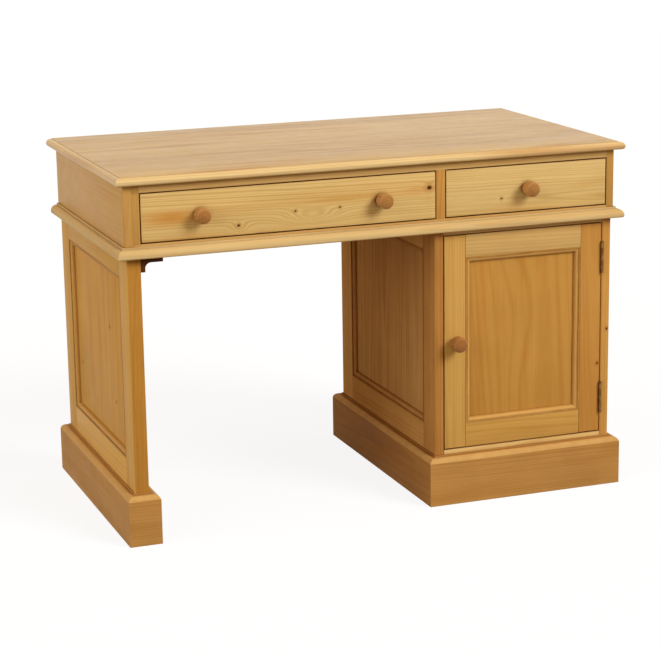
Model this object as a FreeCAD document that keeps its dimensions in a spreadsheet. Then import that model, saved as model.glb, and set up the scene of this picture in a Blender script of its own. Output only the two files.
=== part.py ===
import FreeCAD, Part
import Sketcher
import math
import os
from types import SimpleNamespace

# Pine kneehole desk: a frieze with two drawers stands on a panelled leg and a panelled cupboard.
# Millimetres. +Z is up, -Y is the front, and the floor is z = 0 under the middle of the desk.

doc = FreeCAD.newDocument("kneehole_desk")

# Driving dimensions, one row of the sheet each.
driving_sizes = {
    # Whole desk
    "desk_height": 775.0,
    "carcass_width": 1105.0,
    "carcass_depth": 576.0,
    # Moulded top
    "top_thickness": 18.0,
    "top_overhang": 18.0,
    "top_back_overhang": 18.0,
    "top_nose_round": 7.0,
    "top_quirk_depth": 1.5,
    "top_quirk_offset": 5.5,
    # Frieze with its two drawer openings
    "frieze_height": 150.0,
    "end_thickness": 18.0,
    "left_stile_width": 16.0,
    "rail_thickness": 20.0,
    "top_rail_height": 17.0,
    "bottom_rail_height": 28.0,
    "partition_thickness": 20.0,
    "back_thickness": 18.0,
    "right_opening_width": 383.0,
    "runner_width": 14.0,
    "runner_height": 18.0,
    "guide_height": 24.0,
    # Waist moulding round the foot of the frieze
    "waist_height": 23.0,
    "waist_overhang": 18.0,
    "waist_nose_round": 4.0,
    "waist_ovolo_radius": 13.0,
    "waist_fillet_height": 4.0,
    "waist_fillet_offset": 4.0,
    # Drawers
    "drawer_gap": 2.0,
    "drawer_front_thickness": 20.0,
    "drawer_side_thickness": 12.0,
    "drawer_back_thickness": 12.0,
    "drawer_bottom_thickness": 6.0,
    "drawer_bottom_lift": 10.0,
    "drawer_groove_depth": 6.0,
    "drawer_back_space": 38.0,
    "drawer_back_drop": 6.0,
    "runner_clearance": 0.3,
    "knob_spacing": 398.0,
    # Turned knobs
    "knob_diameter": 33.0,
    "knob_projection": 38.0,
    "knob_dome_height": 2.0,
    "knob_edge_radius": 8.0,
    "knob_rim_height": 14.0,
    "knob_neck_diameter": 19.0,
    "knob_neck_height": 6.0,
    "knob_base_diameter": 22.0,
    "knob_base_height": 2.5,
    "knob_spigot_diameter": 10.0,
    "knob_spigot_length": 15.0,
    # Panelled frames of the leg, the cupboard sides and the door
    "pedestal_inset": 4.0,
    "leg_thickness": 30.0,
    "side_thickness": 20.0,
    "side_stile_width": 65.0,
    "side_top_rail_height": 48.0,
    "side_bottom_rail_height": 168.0,
    "panel_recess": 10.0,
    "panel_thickness": 7.0,
    "panel_groove_depth": 9.0,
    "panel_play": 1.0,
    # Moulding planted round each panel
    "bead_width": 13.0,
    "bead_lip_width": 3.0,
    "bead_quirk_depth": 1.5,
    "bead_foot_width": 1.5,
    "bead_foot_height": 2.0,
    # Plinths
    "plinth_height": 110.0,
    "plinth_thickness": 20.0,
    "plinth_ovolo_radius": 13.0,
    "plinth_fillet_height": 3.0,
    "plinth_fillet_offset": 3.0,
    # Corner brackets in the kneehole
    "bracket_width": 47.0,
    "bracket_height": 31.0,
    "bracket_foot_width": 9.0,
    "bracket_tip_height": 11.5,
    "bracket_curve_radius": 12.0,
    "bracket_thickness": 20.0,
    # Cupboard
    "cupboard_offset": 3.0,
    "cupboard_floor_height": 120.0,
    "cupboard_floor_thickness": 18.0,
    "cupboard_top_thickness": 10.0,
    "cupboard_back_thickness": 8.0,
    "shelf_height": 352.0,
    "shelf_thickness": 18.0,
    "shelf_setback": 40.0,
    "shelf_play": 1.0,
    "peg_diameter": 8.0,
    "peg_depth": 10.0,
    "peg_projection": 12.0,
    "peg_edge_distance": 16.0,
    # Door
    "door_thickness": 20.0,
    "door_gap": 2.0,
    "door_hinge_gap": 2.4,
    "door_stile_width": 50.0,
    "door_top_rail_height": 49.0,
    "door_bottom_rail_height": 52.0,
    "door_knob_height": 360.0,
    "stop_width": 12.0,
    "stop_length": 120.0,
    "stop_clearance": 0.3,
    # Butt hinges
    "hinge_length": 70.0,
    "hinge_end_distance": 42.0,
    "hinge_leaf_width": 22.0,
    "hinge_leaf_thickness": 1.8,
    "hinge_barrel_diameter": 6.0,
    "hinge_barrel_clearance": 0.5,
    "hinge_leaf_clearance": 0.3,
    "hinge_pin_diameter": 3.0,
    "hinge_pin_clearance": 0.05,
    "hinge_pin_head_diameter": 5.4,
    "hinge_pin_head_height": 2.0,
    "knuckle_clearance": 0.3,
    "screw_head_diameter": 6.5,
    "screw_shank_diameter": 3.2,
    "screw_length": 14.0,
    "screw_spacing": 24.0,
}
knuckle_count = 5
screws_per_leaf = 3

sheet = doc.addObject("Spreadsheet::Sheet", "Sizes")
for row, (size_name, size_value) in enumerate(driving_sizes.items(), start=1):
    sheet.set(f"A{row}", size_name)
    sheet.set(f"B{row}", str(size_value))
    sheet.setAlias(f"B{row}", size_name)
doc.recompute()


# A length as the formula that the document keeps, together with its value.
class Size:
    def __init__(self, formula, value):
        self.formula = formula
        self.value = value

    def combine(self, sign, other, value):
        return Size(f"({self.formula} {sign} {other.formula})", value)

    def __add__(self, other):
        other = as_size(other)
        return self.combine("+", other, self.value + other.value)

    def __sub__(self, other):
        other = as_size(other)
        return self.combine("-", other, self.value - other.value)

    def __mul__(self, other):
        other = as_size(other)
        return self.combine("*", other, self.value * other.value)

    def __truediv__(self, other):
        other = as_size(other)
        return self.combine("/", other, self.value / other.value)

    def __neg__(self):
        return Size("0", 0.0) - self


def as_size(value):
    return value if isinstance(value, Size) else Size(repr(value), value)


d = SimpleNamespace(**{key: Size(f"Sizes.{key}", value) for key, value in driving_sizes.items()})
zero = Size("0", 0.0)
sub_parts = []


# Helpers for solids bound to the sheet.
def bind(item, prop, value):
    item.setExpression(prop, as_size(value).formula)


def place(item, base, axis=(0, 0, 1), angle=0.0):
    item.Placement = FreeCAD.Placement(FreeCAD.Vector(), FreeCAD.Rotation(FreeCAD.Vector(*axis), angle))
    for letter, value in zip("xyz", base):
        bind(item, f"Placement.Base.{letter}", value)
    return item


def block(name, x_span, y_span, z_span):
    item = doc.addObject("Part::Box", name)
    for prop, (low, high) in zip(("Length", "Width", "Height"), (x_span, y_span, z_span)):
        bind(item, prop, high - low)
    return place(item, (x_span[0], y_span[0], z_span[0]))


# Turns that lay a solid made along +Z along another axis.
along = {
    "z": ((0, 0, 1), 0.0),
    "x": ((0, 1, 0), 90.0),
    "-x": ((0, 1, 0), -90.0),
    "-y": ((1, 0, 0), 90.0),
}


def rod(name, diameter, length, base, direction="z"):
    item = doc.addObject("Part::Cylinder", name)
    bind(item, "Radius", diameter / 2)
    bind(item, "Height", length)
    return place(item, base, *along[direction])


def taper(name, start_diameter, end_diameter, length, base, direction):
    item = doc.addObject("Part::Cone", name)
    bind(item, "Radius1", start_diameter / 2)
    bind(item, "Radius2", end_diameter / 2)
    bind(item, "Height", length)
    return place(item, base, *along[direction])


def cut(name, base, *tools):
    for number, tool in enumerate(tools, start=1):
        item = doc.addObject("Part::Cut", f"{name}_cut_{number}")
        item.Base = base
        item.Tool = tool
        base = item
    return base


def fuse(name, *pieces):
    item = doc.addObject("Part::MultiFuse", f"{name}_fused")
    item.Shapes = list(pieces)
    item.Refine = True
    return item


def group(name, *pieces):
    item = doc.addObject("Part::Compound", f"{name}_group")
    item.Links = list(pieces)
    return item


def sub_part(name, item):
    item.Label = name
    sub_parts.append(item)
    return item


# A closed outline in the local YZ plane. Each corner is (y, z, bend): bend is None before a straight
# side, ("out", radius) before a convex arc and ("in", radius) before a hollow one.
def outline(name, corners):
    sketch = doc.addObject("Sketcher::SketchObject", name)
    sketch.Placement = FreeCAD.Placement(FreeCAD.Vector(), FreeCAD.Rotation(FreeCAD.Vector(1, 1, 1), 120))
    points = [FreeCAD.Vector(as_size(y).value, as_size(z).value, 0) for y, z, bend in corners]
    ends = []
    for index, (y, z, bend) in enumerate(corners):
        start = points[index]
        end = points[(index + 1) % len(corners)]
        if bend is None:
            sketch.addGeometry(Part.LineSegment(start, end), False)
            ends.append((1, 2))
            continue
        side, radius = bend
        chord = end - start
        sagitta = radius.value - math.sqrt(radius.value ** 2 - (chord.Length / 2) ** 2)
        outward = FreeCAD.Vector(chord.y, -chord.x, 0).normalize()
        middle = (start + end) / 2 + outward * (sagitta if side == "out" else -sagitta)
        if side == "out":
            sketch.addGeometry(Part.Arc(start, middle, end), False)
            ends.append((1, 2))
        else:
            sketch.addGeometry(Part.Arc(end, middle, start), False)
            ends.append((2, 1))
    for index, (y, z, bend) in enumerate(corners):
        after = (index + 1) % len(corners)
        sketch.addConstraint(Sketcher.Constraint("Coincident", index, ends[index][1], after, ends[after][0]))
        for axis, kind, value in ((-2, "DistanceX", as_size(y)), (-1, "DistanceY", as_size(z))):
            if value is zero:
                sketch.addConstraint(Sketcher.Constraint("PointOnObject", index, ends[index][0], axis))
                continue
            number = sketch.addConstraint(
                Sketcher.Constraint(kind, -1, 1, index, ends[index][0], value.value))
            bind(sketch, f"Constraints[{number}]", value)
        if bend is not None:
            number = sketch.addConstraint(Sketcher.Constraint("Radius", index, bend[1].value))
            bind(sketch, f"Constraints[{number}]", bend[1])
    return sketch


# A bar of the given outline from x = 0 to x = length, turned about Z and then moved to its base.
def bar(name, section, length, base, turn):
    item = doc.addObject("Part::Extrusion", name)
    item.Base = section
    item.DirMode = "Custom"
    item.Dir = FreeCAD.Vector(1, 0, 0)
    item.Solid = True
    bind(item, "LengthFwd", length)
    return place(item, base, (0, 0, 1), turn)


# A moulded strip whose outline reaches from y = 0 to y = reach. Its two ends are mitred outwards (1),
# inwards (-1) or left square (0).
def strip(name, section, reach, height, length, base, turn, start_mitre, end_mitre):
    blank = bar(f"{name}_bar", section, length + reach * 2, (-reach, zero, zero), 0.0)
    ends = doc.addObject("Part::Wedge", f"{name}_ends")
    limits = {
        "Xmin": zero,
        "Xmax": length,
        "X2min": reach * -start_mitre,
        "X2max": length + reach * end_mitre,
        "Ymin": zero,
        "Ymax": reach,
        "Zmin": zero,
        "Zmax": height,
        "Z2min": zero,
        "Z2max": height,
    }
    for prop, value in limits.items():
        bind(ends, prop, value)
    item = doc.addObject("Part::Common", name)
    item.Base = blank
    item.Tool = ends
    return place(item, base, (0, 0, 1), turn)


# Places that several pieces share.
left_x = -d.carcass_width / 2
right_x = d.carcass_width / 2
front_y = -(d.carcass_depth + d.top_back_overhang - d.knob_projection) / 2
back_y = front_y + d.carcass_depth
top_z = d.desk_height - d.top_thickness
frieze_z = top_z - d.frieze_height
opening_low_z = frieze_z + d.bottom_rail_height
opening_high_z = top_z - d.top_rail_height
inner_left_x = left_x + d.end_thickness
inner_right_x = right_x - d.end_thickness
inner_back_y = back_y - d.back_thickness
rail_back_y = front_y + d.rail_thickness
left_opening_x = inner_left_x + d.left_stile_width
right_opening_x = inner_right_x - d.right_opening_width
partition_x = right_opening_x - d.partition_thickness

pedestal_front_y = front_y + d.pedestal_inset
pedestal_back_y = back_y - d.pedestal_inset
pedestal_depth = pedestal_back_y - pedestal_front_y
leg_outer_x = left_x + d.pedestal_inset
leg_inner_x = leg_outer_x + d.leg_thickness
cupboard_right_x = right_x - d.pedestal_inset
cupboard_left_x = partition_x - d.cupboard_offset
door_opening_left_x = cupboard_left_x + d.side_thickness
door_opening_right_x = cupboard_right_x - d.side_thickness
cupboard_top_z = frieze_z - d.cupboard_top_thickness


# Outlines of the mouldings, with y pointing away from what they are fixed to.
def top_outline():
    ovolo = d.top_thickness - d.top_quirk_depth - d.top_nose_round
    return outline("top_edge_outline", [
        (zero, zero, None),
        (d.top_overhang - d.top_nose_round, zero, ("out", d.top_nose_round)),
        (d.top_overhang, d.top_nose_round, ("out", ovolo)),
        (d.top_overhang - ovolo, d.top_thickness - d.top_quirk_depth, None),
        (d.top_quirk_offset, d.top_thickness - d.top_quirk_depth, None),
        (d.top_quirk_offset, d.top_thickness, None),
        (zero, d.top_thickness, None),
    ])


def waist_outline():
    ovolo_top = d.waist_height - d.waist_fillet_height
    return outline("waist_outline", [
        (zero, zero, None),
        (d.waist_overhang - d.waist_nose_round, zero, ("out", d.waist_nose_round)),
        (d.waist_overhang, d.waist_nose_round, None),
        (d.waist_overhang, ovolo_top - d.waist_ovolo_radius, ("out", d.waist_ovolo_radius)),
        (d.waist_overhang - d.waist_ovolo_radius, ovolo_top, None),
        (d.waist_fillet_offset, ovolo_top, None),
        (d.waist_fillet_offset, d.waist_height, None),
        (zero, d.waist_height, None),
    ])


def plinth_outline():
    ovolo_top = d.plinth_height - d.plinth_fillet_height
    return outline("plinth_outline", [
        (zero, zero, None),
        (d.plinth_thickness, zero, None),
        (d.plinth_thickness, ovolo_top - d.plinth_ovolo_radius, ("out", d.plinth_ovolo_radius)),
        (d.plinth_thickness - d.plinth_ovolo_radius, ovolo_top, None),
        (d.plinth_fillet_offset, ovolo_top, None),
        (d.plinth_fillet_offset, d.plinth_height, None),
        (zero, d.plinth_height, None),
    ])


def bead_outline():
    shoulder = d.panel_recess - d.bead_quirk_depth
    ovolo = shoulder - d.bead_foot_height
    foot = d.bead_width - d.bead_foot_width
    return outline("bead_outline", [
        (zero, zero, None),
        (d.bead_width, zero, None),
        (d.bead_width, d.bead_foot_height, None),
        (foot, d.bead_foot_height, ("out", ovolo)),
        (foot - ovolo, shoulder, None),
        (d.bead_lip_width, shoulder, None),
        (d.bead_lip_width, d.panel_recess, None),
        (zero, d.panel_recess, None),
    ])


def knob_outline():
    rim_radius = d.knob_diameter / 2
    neck_radius = d.knob_neck_diameter / 2
    base_radius = d.knob_base_diameter / 2
    spigot_radius = d.knob_spigot_diameter / 2
    face_radius = rim_radius - d.knob_edge_radius
    face_z = d.knob_projection - d.knob_dome_height
    edge_z = face_z - d.knob_edge_radius
    rim_z = edge_z - d.knob_rim_height
    flare = rim_radius - neck_radius
    rise = rim_z - d.knob_neck_height
    flare_radius = (flare * flare + rise * rise) / (flare * 2)
    step = base_radius - neck_radius
    drop = d.knob_neck_height - d.knob_base_height
    hollow_radius = (step * step + drop * drop) / (step * 2)
    dome = d.knob_dome_height
    dome_radius = (face_radius * face_radius + dome * dome) / (dome * 2)
    return outline("knob_outline", [
        (zero, -d.knob_spigot_length, None),
        (spigot_radius, -d.knob_spigot_length, None),
        (spigot_radius, zero, None),
        (base_radius, zero, None),
        (base_radius, d.knob_base_height, ("in", hollow_radius)),
        (neck_radius, d.knob_neck_height, ("out", flare_radius)),
        (rim_radius, rim_z, None),
        (rim_radius, edge_z, ("out", d.knob_edge_radius)),
        (face_radius, face_z, ("out", dome_radius)),
        (zero, d.knob_projection, None),
    ])


def bracket_outline():
    tip_z = d.bracket_height - d.bracket_tip_height
    curve = d.bracket_curve_radius
    return outline("bracket_outline", [
        (zero, zero, None),
        (d.bracket_foot_width, zero, None),
        (d.bracket_foot_width, tip_z - curve, ("in", curve)),
        (d.bracket_foot_width + curve, tip_z, None),
        (d.bracket_width, tip_z, None),
        (d.bracket_width, d.bracket_height, None),
        (zero, d.bracket_height, None),
    ])


top_section = top_outline()
waist_section = waist_outline()
plinth_section = plinth_outline()
bead_section = bead_outline()
knob_section = knob_outline()
bracket_section = bracket_outline()


# A turned knob on a face that looks to the front. Its spigot goes into the wood behind.
def knob(name, x, y, z):
    item = doc.addObject("Part::Revolution", name)
    item.Source = knob_section
    item.Axis = FreeCAD.Vector(0, 0, 1)
    item.Base = FreeCAD.Vector(0, 0, 0)
    item.Angle = 360.0
    item.Solid = True
    return place(item, (x, y, z), *along["-y"])


# Frieze: two ends, a back, rails, a partition and the drawer runners.
def make_top():
    depth = d.carcass_depth + d.top_back_overhang
    core = block("top_core", (left_x, right_x), (front_y, front_y + depth), (top_z, d.desk_height))
    shared = (top_section, d.top_overhang, d.top_thickness)
    front = strip("top_edge_front", *shared, d.carcass_width, (right_x, front_y, top_z), 180.0, 1, 1)
    left = strip("top_edge_left", *shared, depth, (left_x, front_y, top_z), 90.0, 1, 0)
    right = strip("top_edge_right", *shared, depth, (right_x, front_y + depth, top_z), -90.0, 0, 1)
    sub_part("desk_top", fuse("desk_top", core, front, left, right))


def make_frieze():
    body_z = (frieze_z, top_z)
    inner_x = (inner_left_x, inner_right_x)
    rail_y = (front_y, rail_back_y)
    sub_part("carcass_left_end", block("left_end", (left_x, inner_left_x), (front_y, back_y), body_z))
    sub_part("carcass_right_end", block("right_end", (inner_right_x, right_x), (front_y, back_y), body_z))
    sub_part("carcass_back", block("back_board", inner_x, (inner_back_y, back_y), body_z))
    top_rail = block("top_rail", inner_x, rail_y, (opening_high_z, top_z))
    bottom_rail = block("bottom_rail", inner_x, rail_y, (frieze_z, opening_low_z))
    sub_part("frieze_top_rail", top_rail)
    sub_part("frieze_bottom_rail", bottom_rail)
    opening_z = (opening_low_z, opening_high_z)
    sub_part("frieze_left_stile", block("left_stile", (inner_left_x, left_opening_x), rail_y, opening_z))
    partition = block("partition_board", (partition_x, right_opening_x), (front_y, inner_back_y), body_z)
    sub_part("drawer_partition", cut("drawer_partition", partition, top_rail, bottom_rail))


# Runners under the drawer sides and kickers over them. A guide strip lies on the left runner,
# because that drawer starts beside the left stile.
def make_runners():
    spans = (
        (inner_left_x, left_opening_x + d.runner_width),
        (partition_x - d.runner_width, partition_x),
        (right_opening_x, right_opening_x + d.runner_width),
        (inner_right_x - d.runner_width, inner_right_x),
    )
    run_y = (rail_back_y, inner_back_y)
    runner_z = (opening_low_z - d.runner_height, opening_low_z)
    runners = [block(f"runner_{i}", span, run_y, runner_z) for i, span in enumerate(spans, start=1)]
    guide_z = (opening_low_z, opening_low_z + d.guide_height)
    guide = block("left_guide", (inner_left_x, left_opening_x), run_y, guide_z)
    kicker_z = (opening_high_z, top_z)
    kickers = [block(f"kicker_{i}", span, run_y, kicker_z) for i, span in enumerate(spans, start=1)]
    sub_part("drawer_runners", group("runners", *runners, guide))
    sub_part("drawer_kickers", group("kickers", *kickers))


def make_waist_moulding():
    shared = (waist_section, d.waist_overhang, d.waist_height)
    depth = d.carcass_depth
    front = strip("waist_front", *shared, d.carcass_width, (right_x, front_y, frieze_z), 180.0, 1, 1)
    left = strip("waist_left", *shared, depth, (left_x, front_y, frieze_z), 90.0, 1, 0)
    right = strip("waist_right", *shared, depth, (right_x, back_y, frieze_z), -90.0, 0, 1)
    sub_part("waist_moulding_front", front)
    sub_part("waist_moulding_left", left)
    sub_part("waist_moulding_right", right)


# A drawer for the opening between two x places: front, sides, back, grooved-in bottom and knobs.
def make_drawer(prefix, x_low, x_high, knob_offsets):
    left_side = (x_low + d.drawer_gap, x_low + d.drawer_gap + d.drawer_side_thickness)
    right_side = (x_high - d.drawer_gap - d.drawer_side_thickness, x_high - d.drawer_gap)
    front_back_y = front_y + d.drawer_front_thickness
    end_y = inner_back_y - d.drawer_back_space
    side_z = (opening_low_z + d.runner_clearance, opening_high_z - d.drawer_gap)
    front_z = (opening_low_z + d.drawer_gap, opening_high_z - d.drawer_gap)
    bottom_z = side_z[0] + d.drawer_bottom_lift
    bottom_top_z = bottom_z + d.drawer_bottom_thickness
    bottom = block(
        f"{prefix}_bottom_board",
        (left_side[1] - d.drawer_groove_depth, right_side[0] + d.drawer_groove_depth),
        (front_back_y - d.drawer_groove_depth, end_y),
        (bottom_z, bottom_top_z))
    middle_x = (x_low + x_high) / 2
    middle_z = (opening_low_z + opening_high_z) / 2
    turned = [
        knob(f"{prefix}_knob_{i}", middle_x + offset, front_y, middle_z)
        for i, offset in enumerate(knob_offsets, start=1)]
    knobs = group(f"{prefix}_knobs", *turned)
    front = block(f"{prefix}_front_board", (left_side[0], right_side[1]), (front_y, front_back_y), front_z)
    sub_part(f"{prefix}_front", cut(f"{prefix}_front", front, bottom, knobs))
    sides = []
    for number, span in enumerate((left_side, right_side), start=1):
        board = block(f"{prefix}_side_board_{number}", span, (front_back_y, end_y), side_z)
        sides.append(cut(f"{prefix}_side_{number}", board, bottom))
    sub_part(f"{prefix}_sides", group(f"{prefix}_sides", *sides))
    back = block(
        f"{prefix}_back_board",
        (left_side[1], right_side[0]),
        (end_y - d.drawer_back_thickness, end_y),
        (bottom_top_z, side_z[1] - d.drawer_back_drop))
    sub_part(f"{prefix}_back", back)
    sub_part(f"{prefix}_bottom", bottom)
    sub_part(f"{prefix}_knobs", knobs)


# The boards of a frame with a floating panel. Stub tongues on the rails and the edges of the panel fit
# one groove. arrange puts the spans across, through and up the frame in x, y, z order.
def panelled_frame(prefix, across, through, up, stile, top_rail, bottom_rail, panel_through, arrange):
    low, high = across
    inner = (low + stile, high - stile)
    tongue = (inner[0] - d.panel_groove_depth, inner[1] + d.panel_groove_depth)
    sight = (up[0] + bottom_rail, up[1] - top_rail)

    def board(name, across_span, through_span, up_span):
        return block(f"{prefix}_{name}", *arrange(across_span, through_span, up_span))

    def stile_board(name, span, groove_span):
        groove = board(f"{name}_groove", groove_span, panel_through, up)
        return cut(f"{prefix}_{name}", board(f"{name}_board", span, through, up), groove)

    def rail_board(name, span, groove_span):
        body = board(f"{name}_board", inner, through, span)
        ends = board(f"{name}_tongues", tongue, panel_through, span)
        groove = board(f"{name}_groove", tongue, panel_through, groove_span)
        return cut(f"{prefix}_{name}", fuse(f"{prefix}_{name}", body, ends), groove)

    groove_depth = d.panel_groove_depth
    reach = groove_depth - d.panel_play
    return SimpleNamespace(
        low_stile=stile_board("low_stile", (low, inner[0]), (tongue[0], inner[0])),
        high_stile=stile_board("high_stile", (inner[1], high), (inner[1], tongue[1])),
        top_rail=rail_board("top_rail", (sight[1], up[1]), (sight[1], sight[1] + groove_depth)),
        bottom_rail=rail_board("bottom_rail", (up[0], sight[0]), (sight[0] - groove_depth, sight[0])),
        panel=board(
            "panel_board",
            (inner[0] - reach, inner[1] + reach),
            panel_through,
            (sight[0] - reach, sight[1] + reach)),
        inner=inner,
        sight=sight)


def side_order(across, through, up):
    return through, across, up


def front_order(across, through, up):
    return across, through, up


# Turns that stand a set of panel mouldings, made lying face up, on a wall that looks that way. Each
# maps the local X axis to the level direction along the wall, and the local Y axis to up.
level_directions = {
    "front": FreeCAD.Vector(1, 0, 0),
    "left": FreeCAD.Vector(0, -1, 0),
    "right": FreeCAD.Vector(0, 1, 0),
}


def facing(wall):
    level = level_directions[wall]
    upright = FreeCAD.Vector(0, 0, 1)
    return FreeCAD.Rotation(level, upright, level.cross(upright), "XZY")


# Four mitred strips round a panel of the given width and height, from the corner at the lower left.
def panel_mouldings(name, width, height, corner, wall):
    starts = (
        (width, (zero, zero, zero), 0.0),
        (height, (width, zero, zero), 90.0),
        (width, (width, height, zero), 180.0),
        (height, (zero, height, zero), 270.0),
    )
    strips = [
        strip(f"{name}_{i}", bead_section, d.bead_width, d.panel_recess, length, base, turn, -1, -1)
        for i, (length, base, turn) in enumerate(starts, start=1)]
    mouldings = place(group(name, *strips), corner)
    mouldings.Placement.Rotation = facing(wall)
    return mouldings


# Four plinth boards round a pedestal: front and rear boards, then left and right boards.
def plinth_boards(prefix, x_low, x_high):
    shared = (plinth_section, d.plinth_thickness, d.plinth_height)
    width = x_high - x_low
    front_right = (x_high, pedestal_front_y, zero)
    rear_left = (x_low, pedestal_back_y, zero)
    front_left = (x_low, pedestal_front_y, zero)
    rear_right = (x_high, pedestal_back_y, zero)
    front = strip(f"{prefix}_plinth_front", *shared, width, front_right, 180.0, 1, 1)
    rear = strip(f"{prefix}_plinth_rear", *shared, width, rear_left, 0.0, 1, 1)
    left = strip(f"{prefix}_plinth_left", *shared, pedestal_depth, front_left, 90.0, 1, 1)
    right = strip(f"{prefix}_plinth_right", *shared, pedestal_depth, rear_right, -90.0, 1, 1)
    sub_part(f"{prefix}_plinth_ends", group(f"{prefix}_plinth_ends", front, rear))
    sub_part(f"{prefix}_plinth_sides", group(f"{prefix}_plinth_sides", left, right))


def make_leg():
    panel_x = (leg_outer_x + d.panel_recess, leg_inner_x - d.panel_recess)
    frame = panelled_frame(
        "leg", (pedestal_front_y, pedestal_back_y), (leg_outer_x, leg_inner_x), (zero, frieze_z),
        d.side_stile_width, d.side_top_rail_height, d.side_bottom_rail_height, panel_x, side_order)
    sub_part("leg_stiles", group("leg_stiles", frame.low_stile, frame.high_stile))
    sub_part("leg_rails", group("leg_rails", frame.top_rail, frame.bottom_rail))
    sub_part("leg_panel", frame.panel)
    width = frame.inner[1] - frame.inner[0]
    height = frame.sight[1] - frame.sight[0]
    outer_corner = (panel_x[0], frame.inner[1], frame.sight[0])
    inner_corner = (panel_x[1], frame.inner[0], frame.sight[0])
    sub_part("leg_outer_moulding", panel_mouldings("leg_outer_beads", width, height, outer_corner, "left"))
    sub_part("leg_inner_moulding", panel_mouldings("leg_inner_beads", width, height, inner_corner, "right"))
    plinth_boards("leg", leg_outer_x, leg_inner_x)
    foot_z = frieze_z - d.bracket_height
    brackets = [
        bar(f"bracket_{i}", bracket_section, d.bracket_thickness, (leg_inner_x, y, foot_z), -90.0)
        for i, y in enumerate((pedestal_front_y + d.bracket_thickness, pedestal_back_y), start=1)]
    sub_part("corner_brackets", group("brackets", *brackets))


# Hinge places. The pin stands just in front of the door's face, over the middle of the hinge gap.
door_right_x = door_opening_right_x - d.door_hinge_gap
hinge_x = door_opening_right_x - d.door_hinge_gap / 2
hinge_y = pedestal_front_y - d.hinge_barrel_clearance - d.hinge_barrel_diameter / 2
door_low_z = d.cupboard_floor_height + d.door_gap
door_high_z = cupboard_top_z - d.door_gap
hinge_low_zs = (door_low_z + d.hinge_end_distance, door_high_z - d.hinge_end_distance - d.hinge_length)
knuckle_pitch = d.hinge_length / knuckle_count
bore_diameter = d.hinge_pin_diameter + d.hinge_pin_clearance * 2


# One leaf with its own knuckles, counted from the bottom, and its pin bore.
def hinge_leaf(name, x_span, low_z, knuckles):
    plate_y = hinge_y + d.hinge_barrel_diameter / 2 + d.hinge_leaf_clearance
    leaf_y = (plate_y, pedestal_front_y + d.hinge_leaf_width)
    pieces = [block(f"{name}_plate", x_span, leaf_y, (low_z, low_z + d.hinge_length))]
    for number in knuckles:
        start_z = low_z + knuckle_pitch * number
        if number > 0:
            start_z = start_z + d.knuckle_clearance / 2
        end_z = low_z + knuckle_pitch * (number + 1)
        if number < knuckle_count - 1:
            end_z = end_z - d.knuckle_clearance / 2
        foot = (hinge_x, hinge_y, start_z)
        pieces.append(rod(f"{name}_knuckle_{number}", d.hinge_barrel_diameter, end_z - start_z, foot))
        pieces.append(block(f"{name}_web_{number}", x_span, (hinge_y, plate_y), (start_z, end_z)))
    bore = rod(f"{name}_bore", bore_diameter, d.hinge_length, (hinge_x, hinge_y, low_z))
    return cut(name, fuse(name, *pieces), bore)


# Countersunk screws through a leaf, from its face at x into the wood.
def leaf_screws(name, x, low_z, direction, inward):
    screw_y = pedestal_front_y + d.hinge_leaf_width / 2
    middle_z = low_z + d.hinge_length / 2
    screws = []
    for number in range(screws_per_leaf):
        z = middle_z + d.screw_spacing * (number - (screws_per_leaf - 1) / 2)
        head = taper(
            f"{name}_head_{number}", d.screw_head_diameter, d.screw_shank_diameter, d.hinge_leaf_thickness,
            (x, screw_y, z), direction)
        shank = rod(
            f"{name}_shank_{number}", d.screw_shank_diameter, d.screw_length - d.hinge_leaf_thickness,
            (x + d.hinge_leaf_thickness * inward, screw_y, z), direction)
        screws.append(fuse(f"{name}_{number}", head, shank))
    return screws


# The pin has a small round head over the barrel.
def hinge_pin(name, low_z):
    shaft = rod(f"{name}_shaft", d.hinge_pin_diameter, d.hinge_length, (hinge_x, hinge_y, low_z))
    head = rod(
        f"{name}_head", d.hinge_pin_head_diameter, d.hinge_pin_head_height,
        (hinge_x, hinge_y, low_z + d.hinge_length))
    return fuse(name, shaft, head)


def make_hinges():
    door_span = (door_right_x - d.hinge_leaf_thickness, door_right_x)
    frame_span = (door_opening_right_x, door_opening_right_x + d.hinge_leaf_thickness)
    door_knuckles = range(1, knuckle_count, 2)
    frame_knuckles = range(0, knuckle_count, 2)
    door_leaves = []
    frame_leaves = []
    door_screws = []
    frame_screws = []
    pins = []
    for number, low_z in enumerate(hinge_low_zs, start=1):
        door_leaves.append(hinge_leaf(f"door_leaf_{number}", door_span, low_z, door_knuckles))
        frame_leaves.append(hinge_leaf(f"frame_leaf_{number}", frame_span, low_z, frame_knuckles))
        door_screws += leaf_screws(f"door_screw_{number}", door_right_x, low_z, "-x", -1)
        frame_screws += leaf_screws(f"frame_screw_{number}", door_opening_right_x, low_z, "x", 1)
        pins.append(hinge_pin(f"pin_{number}", low_z))
    hinges = SimpleNamespace(
        door_leaves=group("door_leaves", *door_leaves),
        frame_leaves=group("frame_leaves", *frame_leaves),
        door_screws=group("door_screws", *door_screws),
        frame_screws=group("frame_screws", *frame_screws))
    drilled_door = [cut(f"{leaf.Name}_drilled", leaf, hinges.door_screws) for leaf in door_leaves]
    drilled_frame = [cut(f"{leaf.Name}_drilled", leaf, hinges.frame_screws) for leaf in frame_leaves]
    sub_part("hinge_door_leaves", group("drilled_door_leaves", *drilled_door))
    sub_part("hinge_frame_leaves", group("drilled_frame_leaves", *drilled_frame))
    sub_part("hinge_pins", group("pins", *pins))
    sub_part("hinge_door_screws", hinges.door_screws)
    sub_part("hinge_frame_screws", hinges.frame_screws)
    return hinges


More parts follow.
